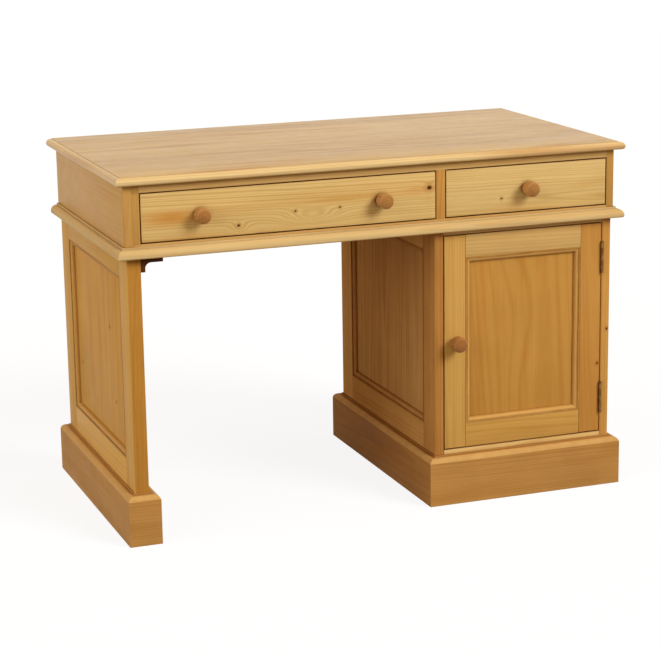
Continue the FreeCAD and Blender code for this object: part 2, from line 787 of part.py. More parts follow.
# Cupboard: two panelled sides, floor, top, back, and a loose shelf on four pegs.
def make_cupboard(hinges):
    depth_y = (pedestal_front_y, pedestal_back_y)
    inside_x = (door_opening_left_x, door_opening_right_x)
    back_front_y = pedestal_back_y - d.cupboard_back_thickness
    shelf_low_z = d.shelf_height - d.shelf_thickness
    peg_z = shelf_low_z - d.peg_diameter / 2
    peg_inset = d.side_stile_width - d.peg_edge_distance
    peg_ys = (pedestal_front_y + peg_inset, pedestal_back_y - peg_inset)
    peg_length = d.peg_depth + d.peg_projection
    peg_starts = (inside_x[0] - d.peg_depth, inside_x[1] - d.peg_projection)
    pegs = [
        rod(f"peg_{i}_{j}", d.peg_diameter, peg_length, (x, y, peg_z), "x")
        for i, x in enumerate(peg_starts, start=1)
        for j, y in enumerate(peg_ys, start=1)]
    peg_set = group("pegs", *pegs)

    sides = (
        ("left", (cupboard_left_x, inside_x[0]), cupboard_left_x + d.panel_recess, 1, "left"),
        ("right", (inside_x[1], cupboard_right_x), cupboard_right_x - d.panel_recess, -1, "right"),
    )
    for name, through, face_x, inward, wall in sides:
        prefix = f"cupboard_{name}"
        panel_x = (face_x, face_x + d.panel_thickness)
        if inward < 0:
            panel_x = (face_x - d.panel_thickness, face_x)
        frame = panelled_frame(
            prefix, depth_y, through, (zero, frieze_z),
            d.side_stile_width, d.side_top_rail_height, d.side_bottom_rail_height, panel_x, side_order)
        stile_tools = [peg_set] if name == "left" else [peg_set, hinges.frame_leaves, hinges.frame_screws]
        front_stile = cut(f"{prefix}_front_stile", frame.low_stile, *stile_tools)
        rear_stile = cut(f"{prefix}_rear_stile", frame.high_stile, peg_set)
        sub_part(f"{prefix}_stiles", group(f"{prefix}_stiles", front_stile, rear_stile))
        sub_part(f"{prefix}_rails", group(f"{prefix}_rails", frame.top_rail, frame.bottom_rail))
        sub_part(f"{prefix}_panel", frame.panel)
        corner_y = frame.inner[1] if wall == "left" else frame.inner[0]
        mouldings = panel_mouldings(
            f"{prefix}_beads", frame.inner[1] - frame.inner[0], frame.sight[1] - frame.sight[0],
            (face_x, corner_y, frame.sight[0]), wall)
        sub_part(f"{prefix}_moulding", mouldings)

    floor_z = (d.cupboard_floor_height - d.cupboard_floor_thickness, d.cupboard_floor_height)
    board_y = (pedestal_front_y, back_front_y)
    sub_part("cupboard_floor", block("floor_board", inside_x, board_y, floor_z))
    sub_part("cupboard_top", block("top_board", inside_x, board_y, (cupboard_top_z, frieze_z)))
    back = block("cupboard_back_board", inside_x, (back_front_y, pedestal_back_y), (floor_z[0], frieze_z))
    sub_part("cupboard_back", back)
    shelf = block(
        "shelf_board",
        (inside_x[0] + d.shelf_play, inside_x[1] - d.shelf_play),
        (pedestal_front_y + d.shelf_setback, back_front_y),
        (shelf_low_z, d.shelf_height))
    sub_part("cupboard_shelf", shelf)
    sub_part("shelf_pegs", peg_set)
    plinth_boards("cupboard", cupboard_left_x, cupboard_right_x)


# Inset door: panelled frame, knob on the free stile, and a stop on the cupboard side behind it.
def make_door(hinges):
    left = door_opening_left_x + d.door_gap
    through = (pedestal_front_y, pedestal_front_y + d.door_thickness)
    panel_y = (pedestal_front_y + d.panel_recess, pedestal_front_y + d.panel_recess + d.panel_thickness)
    frame = panelled_frame(
        "door", (left, door_right_x), through, (door_low_z, door_high_z),
        d.door_stile_width, d.door_top_rail_height, d.door_bottom_rail_height, panel_y, front_order)
    knob_x = left + d.door_stile_width / 2
    turned = knob("door_turned_knob", knob_x, pedestal_front_y, d.door_knob_height)
    lock_stile = cut("door_lock_stile", frame.low_stile, turned)
    hinge_stile = cut("door_hinge_stile", frame.high_stile, hinges.door_leaves, hinges.door_screws)
    sub_part("door_lock_stile", lock_stile)
    sub_part("door_hinge_stile", hinge_stile)
    sub_part("door_top_rail", frame.top_rail)
    sub_part("door_bottom_rail", frame.bottom_rail)
    sub_part("door_panel", frame.panel)
    mouldings = panel_mouldings(
        "door_beads", frame.inner[1] - frame.inner[0], frame.sight[1] - frame.sight[0],
        (frame.inner[0], panel_y[0], frame.sight[0]), "front")
    sub_part("door_moulding", mouldings)
    sub_part("door_knob", turned)
    stop_y = through[1] + d.stop_clearance
    stop = block(
        "stop_block",
        (door_opening_left_x, door_opening_left_x + d.stop_width),
        (stop_y, stop_y + d.stop_width),
        (d.door_knob_height - d.stop_length / 2, d.door_knob_height + d.stop_length / 2))
    sub_part("door_stop", stop)


make_top()
make_frieze()
make_runners()
make_waist_moulding()
make_drawer("left_drawer", left_opening_x, partition_x, (-d.knob_spacing / 2, d.knob_spacing / 2))
make_drawer("right_drawer", right_opening_x, inner_right_x, (zero,))
make_leg()
hinge_set = make_hinges()
make_cupboard(hinge_set)
make_door(hinge_set)
doc.recompute()

# Checks before anything is written.
failed = [item.Label for item in doc.Objects if "Invalid" in item.State or "Error" in item.State]
if failed:
    raise RuntimeError("objects failed: " + ", ".join(failed))
for item in sub_parts:
    if item.Shape.isNull() or not item.Shape.isValid():
        raise RuntimeError("bad shape: " + item.Label)
    if not item.Shape.Solids:
        raise RuntimeError("no solid: " + item.Label)

os.makedirs("parts", exist_ok=True)
for item in sub_parts:
    item.Shape.exportStep(f"parts/{item.Label}.step")
print(len(sub_parts), "sub-parts written")
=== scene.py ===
import math
import random

import bmesh
import bpy
from mathutils import Matrix, Vector


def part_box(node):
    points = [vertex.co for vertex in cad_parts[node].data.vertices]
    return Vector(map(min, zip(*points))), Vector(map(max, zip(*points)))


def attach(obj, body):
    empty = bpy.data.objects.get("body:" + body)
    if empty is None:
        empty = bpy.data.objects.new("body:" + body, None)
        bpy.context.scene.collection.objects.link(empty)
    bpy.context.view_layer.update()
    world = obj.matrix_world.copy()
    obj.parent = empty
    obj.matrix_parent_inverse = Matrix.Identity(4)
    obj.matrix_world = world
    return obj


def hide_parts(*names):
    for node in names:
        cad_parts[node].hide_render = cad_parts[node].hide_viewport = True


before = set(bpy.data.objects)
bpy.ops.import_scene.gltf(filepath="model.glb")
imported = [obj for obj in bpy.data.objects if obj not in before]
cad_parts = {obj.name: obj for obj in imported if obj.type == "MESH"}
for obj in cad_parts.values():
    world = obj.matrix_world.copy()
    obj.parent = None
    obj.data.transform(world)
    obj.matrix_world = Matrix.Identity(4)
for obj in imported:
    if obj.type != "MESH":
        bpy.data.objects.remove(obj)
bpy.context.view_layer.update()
dice = random.Random(1)
axisOf = {"x": 0, "y": 1, "z": 2}


def tint(red, green, blue):
    linear = []
    for level in (red, green, blue):
        share = level / 255
        linear.append(share / 12.92 if share <= 0.04045 else ((share + 0.055) / 1.055) ** 2.4)
    return (*linear, 1.0)


# Node helpers

def addNode(tree, kind, values=None, **settings):
    node = tree.nodes.new(kind)
    for key, value in settings.items():
        setattr(node, key, value)
    for key, value in (values or {}).items():
        if isinstance(value, bpy.types.NodeSocket):
            tree.links.new(value, node.inputs[key])
        else:
            node.inputs[key].default_value = value
    return node


def sums(tree, operation, *values):
    node = addNode(tree, "ShaderNodeMath", dict(enumerate(values)), operation=operation)
    return node.outputs[0]


def vectors(tree, operation, *values):
    node = addNode(tree, "ShaderNodeVectorMath", dict(enumerate(values)), operation=operation)
    return node.outputs["Value" if operation in ("LENGTH", "DISTANCE") else "Vector"]


def speckle(tree, place, stretch, detail=2.0, roughness=0.5):
    spread = vectors(tree, "MULTIPLY", place, stretch)
    return addNode(tree, "ShaderNodeTexNoise", {"Vector": spread, "Scale": 1.0, "Detail": detail,
                                                "Roughness": roughness})


def between(tree, value, low, high, toLow=0.0, toHigh=1.0, shape="SMOOTHSTEP"):
    node = addNode(tree, "ShaderNodeMapRange", {0: value, 1: low, 2: high, 3: toLow, 4: toHigh})
    node.interpolation_type = shape
    return node.outputs[0]


def blendColour(tree, share, first, second, how="MIX"):
    node = addNode(tree, "ShaderNodeMix", {0: share, 6: first, 7: second}, data_type="RGBA")
    node.blend_type = how
    return node.outputs[2]


def startMaterial(name):
    material = bpy.data.materials.new(name)
    material.use_nodes = True
    tree = material.node_tree
    tree.nodes.clear()
    shader = tree.nodes.new("ShaderNodeBsdfPrincipled")
    output = tree.nodes.new("ShaderNodeOutputMaterial")
    tree.links.new(shader.outputs[0], output.inputs["Surface"])
    return material, tree, shader


# Waxed pine: growth rings round a pith, read along each board's own grain
# each Grain value is a noise's scale along, across and through the board
pineLook = {
    "early": tint(208, 154, 79),
    "late": tint(176, 114, 46),
    "flame": tint(188, 122, 48),
    # dirt colour, also used for painted shade in creases, quirks and gaps
    "dirt": tint(92, 44, 14),
    # colour of rubbed arrises, which also paints a highlight on the upper slopes of roundings
    "rub": tint(226, 180, 110),
    "knotCore": tint(92, 48, 20),
    "knotHalo": tint(170, 100, 40),
    "haloShare": 0.4,
    "stain": tint(200, 132, 52),
    "ringWidth": 0.0058,  # one year
    "ringShare": 0.42,
    "ringFade": 0.86,
    "flameShare": 0.55,
    "tilt": (0.0, 0.012, 0.02),
    "warp": 0.007,
    "uneven": 0.009,
    "shiver": 0.0028,
    "yearScale": 70.0,
    "driftGrain": (1.3, 9.0, 9.0),
    "shiverGrain": (6.0, 42.0, 42.0),
    "fibreGrain": (5.0, 420.0, 420.0),
    "flameGrain": (2.0, 30.0, 30.0),
    "ductGrain": (70.0, 1100.0, 1100.0),
    "cloudGrain": (9.0, 9.0, 9.0),
    "patchGrain": (38.0, 38.0, 38.0),
    "fibreShares": (0.94, 1.05),
    "ductShade": 0.16,
    # how far rub with its painted highlight, and grime with its painted shade, reach on the patchy arrises
    "rubShares": (0.28, 0.4),
    "grimeShares": (-0.75, -0.4),
    "quirkReach": 0.004,
    "quirkShare": 0.85,  # above 1 the painted shade and dirt are full before the quirk is closed
    "roughness": 0.42,
    "satinSpread": (-0.04, 0.06),
    "ringPolish": 0.07,
    "gloss": 0.012,
    "mottle": 0.03,
    "toneShares": (0.75, 1.1, 1.6),  # a darker board is redder too
    "fibreRise": 0.6,
    "ringRise": 0.5,
    "bumpStrength": 0.22,
    "bumpDepth": 0.0004,
    "innerPith": (0.3, 0.03, 0.09),
}


def nearness(tree, here, place, size):
    # distance from a knot or stain, in its own half sizes
    away = vectors(tree, "DIVIDE", vectors(tree, "SUBTRACT", here, place), size)
    away = vectors(tree, "LENGTH", away)
    hump = sums(tree, "EXPONENT", sums(tree, "MULTIPLY", sums(tree, "MULTIPLY", away, away), -1.0))
    return away, hump


def pineFinish(name, along=None, knots=(), swirls=(), stains=(), nearby=False, **changes):
    look = {**pineLook, **changes}
    material, tree, shader = startMaterial(name)
    here = addNode(tree, "ShaderNodeTexCoord").outputs["Object"]
    if along is None:
        grain = addNode(tree, "ShaderNodeAttribute", attribute_name="grain").outputs["Vector"]
    else:
        turns = {"x": (0, 0, 0), "y": (0, 0, -math.pi / 2), "z": (0, math.pi / 2, 0)}
        grain = addNode(tree, "ShaderNodeMapping", {"Vector": here, "Location": look["innerPith"],
                                                    "Rotation": turns[along]}).outputs[0]
    drift = speckle(tree, grain, look["driftGrain"]).outputs["Color"]
    drift = vectors(tree, "MULTIPLY", vectors(tree, "SUBTRACT", drift, (0.5, 0.5, 0.5)),
                    (0.0, look["warp"] * 2, look["warp"] * 2))
    bent = vectors(tree, "ADD", grain, drift)
    bent = addNode(tree, "ShaderNodeMapping", {"Vector": bent, "Rotation": look["tilt"]}).outputs[0]
    radius = vectors(tree, "LENGTH", vectors(tree, "MULTIPLY", bent, (0.0, 1.0, 1.0)))
    core = 0.0
    halo = 0.0
    # a knot pushes the rings aside and shows its own dark heart
    for place, size, push in knots:
        away, hump = nearness(tree, here, place, size)
        radius = sums(tree, "ADD", radius, sums(tree, "MULTIPLY", hump, push))
        core = sums(tree, "MAXIMUM", core, between(tree, away, 0.42, 0.2))
        halo = sums(tree, "MAXIMUM", halo, between(tree, away, 1.2, 0.3))
    for place, size, push in swirls:
        hump = nearness(tree, here, place, size)[1]
        radius = sums(tree, "ADD", radius, sums(tree, "MULTIPLY", hump, push))
    # rings of uneven width and strength
    years = addNode(tree, "ShaderNodeTexNoise", {"W": radius, "Scale": look["yearScale"], "Detail": 1.0},
                    noise_dimensions="1D").outputs["Fac"]
    shiver = speckle(tree, grain, look["shiverGrain"]).outputs["Fac"]
    radius = sums(tree, "MULTIPLY_ADD", sums(tree, "SUBTRACT", years, 0.5), look["uneven"], radius)
    radius = sums(tree, "MULTIPLY_ADD", shiver, look["shiver"], radius)
    rings = sums(tree, "DIVIDE", radius, look["ringWidth"])
    saw = sums(tree, "FRACT", rings)
    latewood = sums(tree, "MULTIPLY", between(tree, saw, 0.2, look["ringFade"]),
                    between(tree, saw, 1.0, look["ringFade"]))
    yearly = addNode(tree, "ShaderNodeTexWhiteNoise", {"W": sums(tree, "FLOOR", rings)},
                     noise_dimensions="1D").outputs["Value"]
    latewood = sums(tree, "MULTIPLY", latewood, sums(tree, "MULTIPLY_ADD", yearly, 0.8, 0.25))
    fibre = speckle(tree, grain, look["fibreGrain"], 3.0, 0.6).outputs["Fac"]
    flame = speckle(tree, grain, look["flameGrain"], 3.0, 0.55).outputs["Fac"]
    ducts = speckle(tree, grain, look["ductGrain"], 1.0).outputs["Fac"]
    cloud = speckle(tree, here, look["cloudGrain"], 3.0).outputs["Fac"]
    streak = sums(tree, "MULTIPLY", latewood, look["ringShare"])
    colour = blendColour(tree, streak, look["early"], look["late"])
    warmth = between(tree, flame, 0.45, 0.8, 0.0, look["flameShare"])
    colour = blendColour(tree, warmth, colour, look["flame"])
    for place, size, share in stains:
        hump = nearness(tree, here, place, size)[1]
        hump = sums(tree, "MULTIPLY", hump, between(tree, flame, 0.3, 0.6, 0.4, 1.0))
        colour = blendColour(tree, sums(tree, "MULTIPLY", hump, share), colour, look["stain"])
    # fibres, resin ducts and the board's own tone
    tone = addNode(tree, "ShaderNodeAttribute", attribute_name="tone").outputs["Fac"]
    bright = sums(tree, "ADD", between(tree, fibre, 0.25, 0.75, *look["fibreShares"], "LINEAR"),
                  between(tree, cloud, 0.25, 0.75, -look["mottle"], look["mottle"], "LINEAR"))
    bright = sums(tree, "SUBTRACT", bright, between(tree, ducts, 0.66, 0.8, 0.0, look["ductShade"]))
    shade = [sums(tree, "MULTIPLY_ADD", tone, share, bright) for share in look["toneShares"]]
    shade = addNode(tree, "ShaderNodeCombineXYZ", dict(enumerate(shade))).outputs[0]
    colour = blendColour(tree, 1.0, colour, shade, "MULTIPLY")
    if knots:
        halo = sums(tree, "MULTIPLY", halo, look["haloShare"])
        colour = blendColour(tree, halo, colour, look["knotHalo"])
        colour = blendColour(tree, core, colour, look["knotCore"])
    # rubbed arrises with a painted highlight where the wear mark is above zero, grimy ones with painted
    # shade in the gaps below, and painted crease shade with dirt in the quirks
    patchy = speckle(tree, here, look["patchGrain"], 3.0).outputs["Fac"]
    worn = addNode(tree, "ShaderNodeAttribute", attribute_name="worn").outputs["Fac"]
    rubbed = sums(tree, "MULTIPLY", worn, between(tree, patchy, 0.3, 0.75, *look["rubShares"]))
    grimy = sums(tree, "MULTIPLY", worn, between(tree, patchy, 0.3, 0.7, *look["grimeShares"]))
    colour = blendColour(tree, sums(tree, "MAXIMUM", rubbed, 0.0), colour, look["rub"])
    colour = blendColour(tree, sums(tree, "MAXIMUM", grimy, 0.0), colour, look["dirt"])
    # painted shade: ambient occlusion darkens quirks, creases and, with nearby set, the wood close to
    # other parts towards the dirt colour, standing for shade as well as dirt
    quirk = addNode(tree, "ShaderNodeAmbientOcclusion", {"Distance": look["quirkReach"]}, samples=8,
                    only_local=not nearby)
    quirk = between(tree, quirk.outputs["AO"], 0.8, 0.2, 0.0, look["quirkShare"])
    colour = blendColour(tree, quirk, colour, look["dirt"])
    tree.links.new(colour, shader.inputs["Base Color"])
    satin = between(tree, patchy, 0.3, 0.7, *look["satinSpread"], "LINEAR")
    satin = sums(tree, "ADD", satin, look["roughness"])
    satin = sums(tree, "SUBTRACT", satin, sums(tree, "MULTIPLY", latewood, look["ringPolish"]))
    tree.links.new(satin, shader.inputs["Roughness"])
    height = sums(tree, "MULTIPLY", latewood, look["ringRise"])
    height = sums(tree, "MULTIPLY_ADD", fibre, look["fibreRise"], height)
    bump = addNode(tree, "ShaderNodeBump", {"Strength": look["bumpStrength"],
                                            "Distance": look["bumpDepth"], "Height": height})
    tree.links.new(bump.outputs[0], shader.inputs["Normal"])
    shader.inputs["Specular IOR Level"].default_value = look["gloss"]
    return material


# Old brass of the hinges
brassLook = {
    "metal": tint(158, 118, 62),
    "tarnish": tint(118, 84, 42),
    "roughness": 0.48,
    "roughSpread": (-0.08, 0.16),
    "patchGrain": (90.0, 90.0, 60.0),
    "brushGrain": (900.0, 900.0, 30.0),
    "bumpStrength": 0.2,
    "bumpDepth": 0.0002,
}


def brassFinish(name, **changes):
    look = {**brassLook, **changes}
    material, tree, shader = startMaterial(name)
    here = addNode(tree, "ShaderNodeTexCoord").outputs["Object"]
    patches = speckle(tree, here, look["patchGrain"], 4.0, 0.6).outputs["Fac"]
    brushed = speckle(tree, here, look["brushGrain"], 2.0).outputs["Fac"]
    colour = blendColour(tree, between(tree, patches, 0.35, 0.65), look["metal"], look["tarnish"])
    tree.links.new(colour, shader.inputs["Base Color"])
    rough = between(tree, patches, 0.3, 0.7, *look["roughSpread"], "LINEAR")
    rough = sums(tree, "ADD", rough, look["roughness"])
    tree.links.new(rough, shader.inputs["Roughness"])
    bump = addNode(tree, "ShaderNodeBump", {"Strength": look["bumpStrength"],
                                            "Distance": look["bumpDepth"], "Height": brushed})
    tree.links.new(bump.outputs[0], shader.inputs["Normal"])
    shader.inputs["Metallic"].default_value = 1.0
    return material


# Boards: where the pith lies, how far one board's figure may differ from the next, and the shades
boardLook = {
    "pith": (0.03, 0.055),
    "pithShares": (0.7, 1.3),
    "slide": 6,
    "toneSpread": 0.045,
    "endShade": 0.17,
    "edgeShade": 0.1,
    "arris": 0.0012,
    "arrisSteps": 2,
    "arrisAngle": 0.6,
    "cornerSteps": 4,
    "sharp": math.radians(28),
}


def unique(items):
    # in the order given, so that every run makes the same mesh
    return list(dict.fromkeys(items))


def newOnes(items, before):
    return [item for item in items if item not in before]


def pointsOf(geom):
    return [item for item in geom if isinstance(item, bmesh.types.BMVert)]


def ease(bm, geom, offset, segments, affect="EDGES", clamp=False):
    return bmesh.ops.bevel(bm, geom=geom, offset=offset, offset_type="OFFSET", segments=segments,
                           profile=0.5, affect=affect, material=-1, clamp_overlap=clamp)["faces"]


def addObject(name, data):
    thing = bpy.data.objects.new(name, data)
    bpy.context.scene.collection.objects.link(thing)
    return thing


def startShape(name):
    # every piece draws its own figure, and another number here gives another one
    dice.seed(name + "0")
    bm = bmesh.new()
    bm.loops.layers.float_vector.new("grain")
    bm.faces.layers.float.new("tone")
    # wear mark: above zero rub with a painted highlight, below zero grime with painted shade in the gaps
    bm.faces.layers.float.new("worn")
    return bm


def layGrain(bm, faces, along, middle, flat, pith=boardLook["pith"], staves=0, lift=0.0, edge=0.0,
             end=boardLook["endShade"]):
    # every board, or stave of a glued-up board, gets its own figure; end grain and edges are darker
    grain = bm.loops.layers.float_vector["grain"]
    tone = bm.faces.layers.float["tone"]
    first = axisOf[along]
    through = axisOf[flat]
    across = 3 - first - through
    slides = boardLook["slide"]
    tones = boardLook["toneSpread"]
    numbers = {}
    for face in faces:
        number = 0
        if staves:
            number = math.floor((face.calc_center_median()[across] - middle[across]) / staves + 0.5)
        numbers[face] = number
    cuts = {}
    for number in sorted(set(numbers.values())):
        cuts[number] = (dice.uniform(-slides, slides), dice.uniform(*boardLook["pithShares"]),
                        dice.choice((-1, 1)), dice.uniform(-tones, tones))
    for face, number in numbers.items():
        slide, share, side, chance = cuts[number]
        face.normal_update()
        face[tone] = lift + chance
        if abs(face.normal[first]) > 0.8:
            face[tone] -= end
        elif abs(face.normal[across]) > 0.8:
            face[tone] -= edge
        for loop in face.loops:
            spot = loop.vert.co - middle
            loop[grain] = (spot[first] + slide,
                           spot[across] - number * staves + pith[0] * share * side,
                           spot[through] + pith[1] * share)


def addBoard(bm, low, high, along, arris=boardLook["arris"], pith=boardLook["pith"], staves=0, wear=1.0,
             lift=0.0, edge=boardLook["edgeShade"], softCorner=None):
    # softCorner is the x, y and radius of an upright edge that is rounded more than the rest
    before = set(bm.faces)
    low = Vector(low)
    high = Vector(high)
    middle = (low + high) / 2
    cube = bmesh.ops.create_cube(bm, size=1.0)["verts"]
    bmesh.ops.scale(bm, vec=high - low, verts=cube)
    bmesh.ops.translate(bm, vec=middle, verts=cube)
    edges = unique(line for vert in cube for line in vert.link_edges)
    if softCorner:
        x, y, radius = softCorner
        upright = [line for line in edges
                   if all(abs(vert.co.x - x) + abs(vert.co.y - y) < 1e-5 for vert in line.verts)]
        ease(bm, upright, radius, boardLook["cornerSteps"])
        edges = unique(line for face in newOnes(bm.faces, before) for line in face.edges
                       if line.calc_face_angle() > boardLook["arrisAngle"])
    # the arrises take the wear mark: rub with a painted highlight, or grime with painted gap shade when it
    # is below zero
    worn = bm.faces.layers.float["worn"]
    for face in ease(bm, edges, arris, boardLook["arrisSteps"], clamp=True):
        face.smooth = True
        face[worn] = wear
    sides = sorted((index for index in range(3) if index != axisOf[along]),
                   key=lambda index: high[index] - low[index])
    flat = "xyz"[sides[0]]
    wide = sides[1]
    if staves:
        count = round((high[wide] - low[wide]) / staves)
        staves = (high[wide] - low[wide]) / count
        normal = Vector((0, 0, 0))
        normal[wide] = 1
        middle[wide] = low[wide] + staves / 2
        for number in range(1, count):
            spot = middle.copy()
            spot[wide] = low[wide] + staves * number
            fresh = newOnes(bm.faces, before)
            geom = fresh + unique(line for face in fresh for line in face.edges)
            geom += unique(vert for face in fresh for vert in face.verts)
            bmesh.ops.bisect_plane(bm, geom=geom, plane_co=spot, plane_no=normal)
    layGrain(bm, newOnes(bm.faces, before), along, middle, flat, pith, staves, lift, edge)


def mitreEnd(bm, verts, corner, outward, push):
    # the further out a point lies, the further it moves along the run
    shear = Matrix.Identity(4)
    for row in range(3):
        for column in range(3):
            shear[row][column] += push[row] * outward[column]
    bmesh.ops.transform(bm, matrix=shear, space=Matrix.Translation(-corner), verts=verts)


def drawOut(bm, corners, rounds, steps, run):
    # a section with some of its corners rounded, drawn out along a run
    before = set(bm.faces)
    verts = [bm.verts.new(corner) for corner in corners]
    bm.faces.new(verts)
    for index, radius in rounds.items():
        ease(bm, [verts[index]], radius, steps, "VERTICES")
    drawn = newOnes(bm.faces, before)
    near = list(drawn[0].verts)
    far = pointsOf(bmesh.ops.extrude_face_region(bm, geom=drawn, use_keep_orig=True)["geom"])
    bmesh.ops.translate(bm, vec=run, verts=far)
    return near, far, newOnes(bm.faces, before)


# Mouldings: steps in a rounding, and where their rubbed strips with a painted highlight and their grimy
# strips with painted shade lie
runLook = {
    "steps": 7,
    "pith": (0.05, 0.05),
    "rub": 0.7,
    "rubSlopes": (0.3, 0.95),
    "grimeStrip": 0.002,
    "beadRub": 0.6,
    "beadGrime": 0.4,
}


def addRun(bm, section, corner, run, outward, upward, mitres=(-1, 1), pith=runLook["pith"], lift=0.0,
           rub=runLook["rub"], grime=0.0):
    # a moulding: its section drawn out from one corner and mitred
    corner = Vector(corner)
    run = Vector(run)
    outward = Vector(outward)
    upward = Vector(upward)
    corners = [corner + outward * out + upward * up for out, up in section["corners"]]
    near, far, fresh = drawOut(bm, corners, section["rounds"], runLook["steps"], run)
    ahead = run.normalized()
    mitreEnd(bm, near, corner, outward, ahead * mitres[0])
    mitreEnd(bm, far, corner, outward, ahead * mitres[1])
    worn = bm.faces.layers.float["worn"]
    top = max(up for out, up in section["corners"])
    steep, level = runLook["rubSlopes"]
    # upward sloping faces of a rounding get rub with a painted highlight; the strip at a bead's top edge
    # gets grime with painted shade where it meets the frame
    for face in fresh:
        face.smooth = True
        face.normal_update()
        if steep < abs(face.normal.dot(upward)) < level and abs(face.normal.dot(ahead)) < steep:
            face[worn] = rub
        elif (face.calc_center_median() - corner).dot(upward) > top - runLook["grimeStrip"]:
            face[worn] = -grime
    along = "xyz"[max(range(3), key=lambda index: abs(run[index]))]
    flat = "xyz"[max(range(3), key=lambda index: abs(outward[index]))]
    layGrain(bm, fresh, along, corner + run / 2, flat, pith, lift=lift)


def addBeads(bm, section, low, high, upward):
    # four mitred lengths round a panel; low and high are the opening's corners on the panel's face
    low = Vector(low)
    high = Vector(high)
    spans = [index for index in range(3) if abs(high[index] - low[index]) > 1e-6]
    for first, second in (spans, spans[::-1]):
        for side in (low, high):
            corner = low.copy()
            corner[second] = side[second]
            run = Vector((0, 0, 0))
            run[first] = high[first] - low[first]
            outward = Vector((0, 0, 0))
            outward[second] = 1 if side is low else -1
            addRun(bm, section, corner, run, outward, upward, mitres=(1, -1), rub=runLook["beadRub"],
                   grime=runLook["beadGrime"])


def threeSides(left, right, front, back, floor):
    # corner, run, outward and mitres of a moulding's front, left and right lengths
    return (((left, front, floor), (right - left, 0, 0), (0, -1, 0), (-1, 1)),
            ((left, front, floor), (0, back - front, 0), (-1, 0, 0), (-1, 0)),
            ((right, front, floor), (0, back - front, 0), (1, 0, 0), (-1, 0)))


def closePiece(bm, name, finish, slotName, body, *nodes):
    bmesh.ops.recalc_face_normals(bm, faces=bm.faces)
    mesh = bpy.data.meshes.new(name)
    bm.to_mesh(mesh)
    bm.free()
    mesh.set_sharp_from_angle(angle=boardLook["sharp"])
    mesh.materials.append(finish)
    piece = addObject(name, mesh)
    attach(piece, body)
    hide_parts(*nodes)


def boardPiece(node, along, finish, slotName, body="desk_frame", **cut):
    bm = startShape(node)
    addBoard(bm, *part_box(node), along, **cut)
    closePiece(bm, node + "_wood", finish, slotName, body, node)


def pairPiece(node, axis, widths, along, finish, slotName, body="desk_frame", trim=None,
              lifts=(0.0, 0.0), **cut):
    # two boards, one at each end of the node's box; trim takes their hidden tongues off
    low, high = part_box(node)
    if trim:
        low[axisOf[trim[0]]] += trim[1]
        high[axisOf[trim[0]]] -= trim[1]
    bm = startShape(node)
    index = axisOf[axis]
    nearHigh = high.copy()
    nearHigh[index] = low[index] + widths[0]
    farLow = low.copy()
    farLow[index] = high[index] - widths[1]
    addBoard(bm, low, nearHigh, along, lift=lifts[0], **cut)
    addBoard(bm, farLow, high, along, lift=lifts[1], **cut)
    closePiece(bm, node + "_wood", finish, slotName, body, node)


# Finishes, with the place, half size and push of each knot and swirl
plainKnots = (
    ((0.5427, -0.274, 0.3547), (0.008, 0.02, 0.009), 0.003),
    ((0.5485, 0.253, 0.46), (0.02, 0.012, 0.016), 0.006),
    ((0.5485, 0.02, 0.13), (0.02, 0.016, 0.01), 0.005),
    ((0.5525, 0.12, 0.69), (0.02, 0.018, 0.01), 0.006),
)
panelKnots = (
    ((-0.5385, -0.0734, 0.4204), (0.02, 0.008, 0.01), 0.004),
    ((-0.5385, 0.1855, 0.2821), (0.02, 0.007, 0.008), 0.003),
    ((-0.5385, -0.1066, 0.2632), (0.02, 0.007, 0.008), 0.003),
    ((0.5385, 0.06, 0.43), (0.02, 0.012, 0.016), 0.006),
    ((0.5385, -0.09, 0.27), (0.02, 0.007, 0.009), 0.003),
)
hingeStileKnots = (
    ((0.5204, -0.274, 0.2778), (0.008, 0.02, 0.009), 0.003),
)
panelSwirls = (
    ((0.335, -0.267, 0.44), (0.05, 0.05, 0.16), 0.02),
)
plainPine = pineFinish("plainPine", knots=plainKnots)
endPine = pineFinish("endPine", knots=plainKnots, early=tint(208, 162, 90), late=tint(180, 124, 58),
                     flame=tint(192, 134, 68), ringShare=0.3, gloss=0.06, nearby=True, quirkReach=0.007)
legPine = pineFinish("legPine", knots=plainKnots, early=tint(217, 170, 94), late=tint(186, 129, 59),
                     flame=tint(200, 145, 69), ringShare=0.34)
# partly painted shade: darker, redder and glossless copies of the side and panel finishes for the kneehole
# side, besides the wood's own tone
kneePine = pineFinish("kneePine", nearby=True, early=tint(203, 149, 83), late=tint(166, 110, 54),
                      flame=tint(175, 116, 55), gloss=0.0, mottle=0.07)
# painted shade: a darker copy of the bead finish, with a long crease shade reach, for the beads in the
# shaded kneehole
kneeBeadPine = pineFinish("kneeBeadPine", nearby=True, quirkReach=0.014, quirkShare=0.9,
                          early=tint(184, 129, 68), late=tint(150, 96, 45), flame=tint(160, 103, 46),
                          gloss=0.0)
kneePanelPine = pineFinish("kneePanelPine", nearby=True, early=tint(212, 161, 95),
                           late=tint(164, 110, 58), flame=tint(178, 121, 65), ringShare=0.6, gloss=0.0,
                           mottle=0.08)
doorPine = pineFinish("doorPine", nearby=True, quirkReach=0.003, early=tint(203, 156, 80),
                      late=tint(176, 119, 51), flame=tint(191, 135, 60), ringShare=0.36, shiver=0.004)
hingeStilePine = pineFinish("hingeStilePine", knots=hingeStileKnots, nearby=True, quirkReach=0.003,
                            early=tint(197, 140, 67), late=tint(169, 109, 46), ringShare=0.3)
doorRailPine = pineFinish("doorRailPine", nearby=True, quirkReach=0.003, early=tint(214, 173, 105),
                          late=tint(184, 132, 66), flame=tint(200, 148, 78), ringShare=0.5)
topPine = pineFinish("topPine", early=tint(215, 181, 121), late=tint(176, 126, 70),
                     flame=tint(184, 134, 78), ringShare=0.7, flameShare=1.0, gloss=0.26)
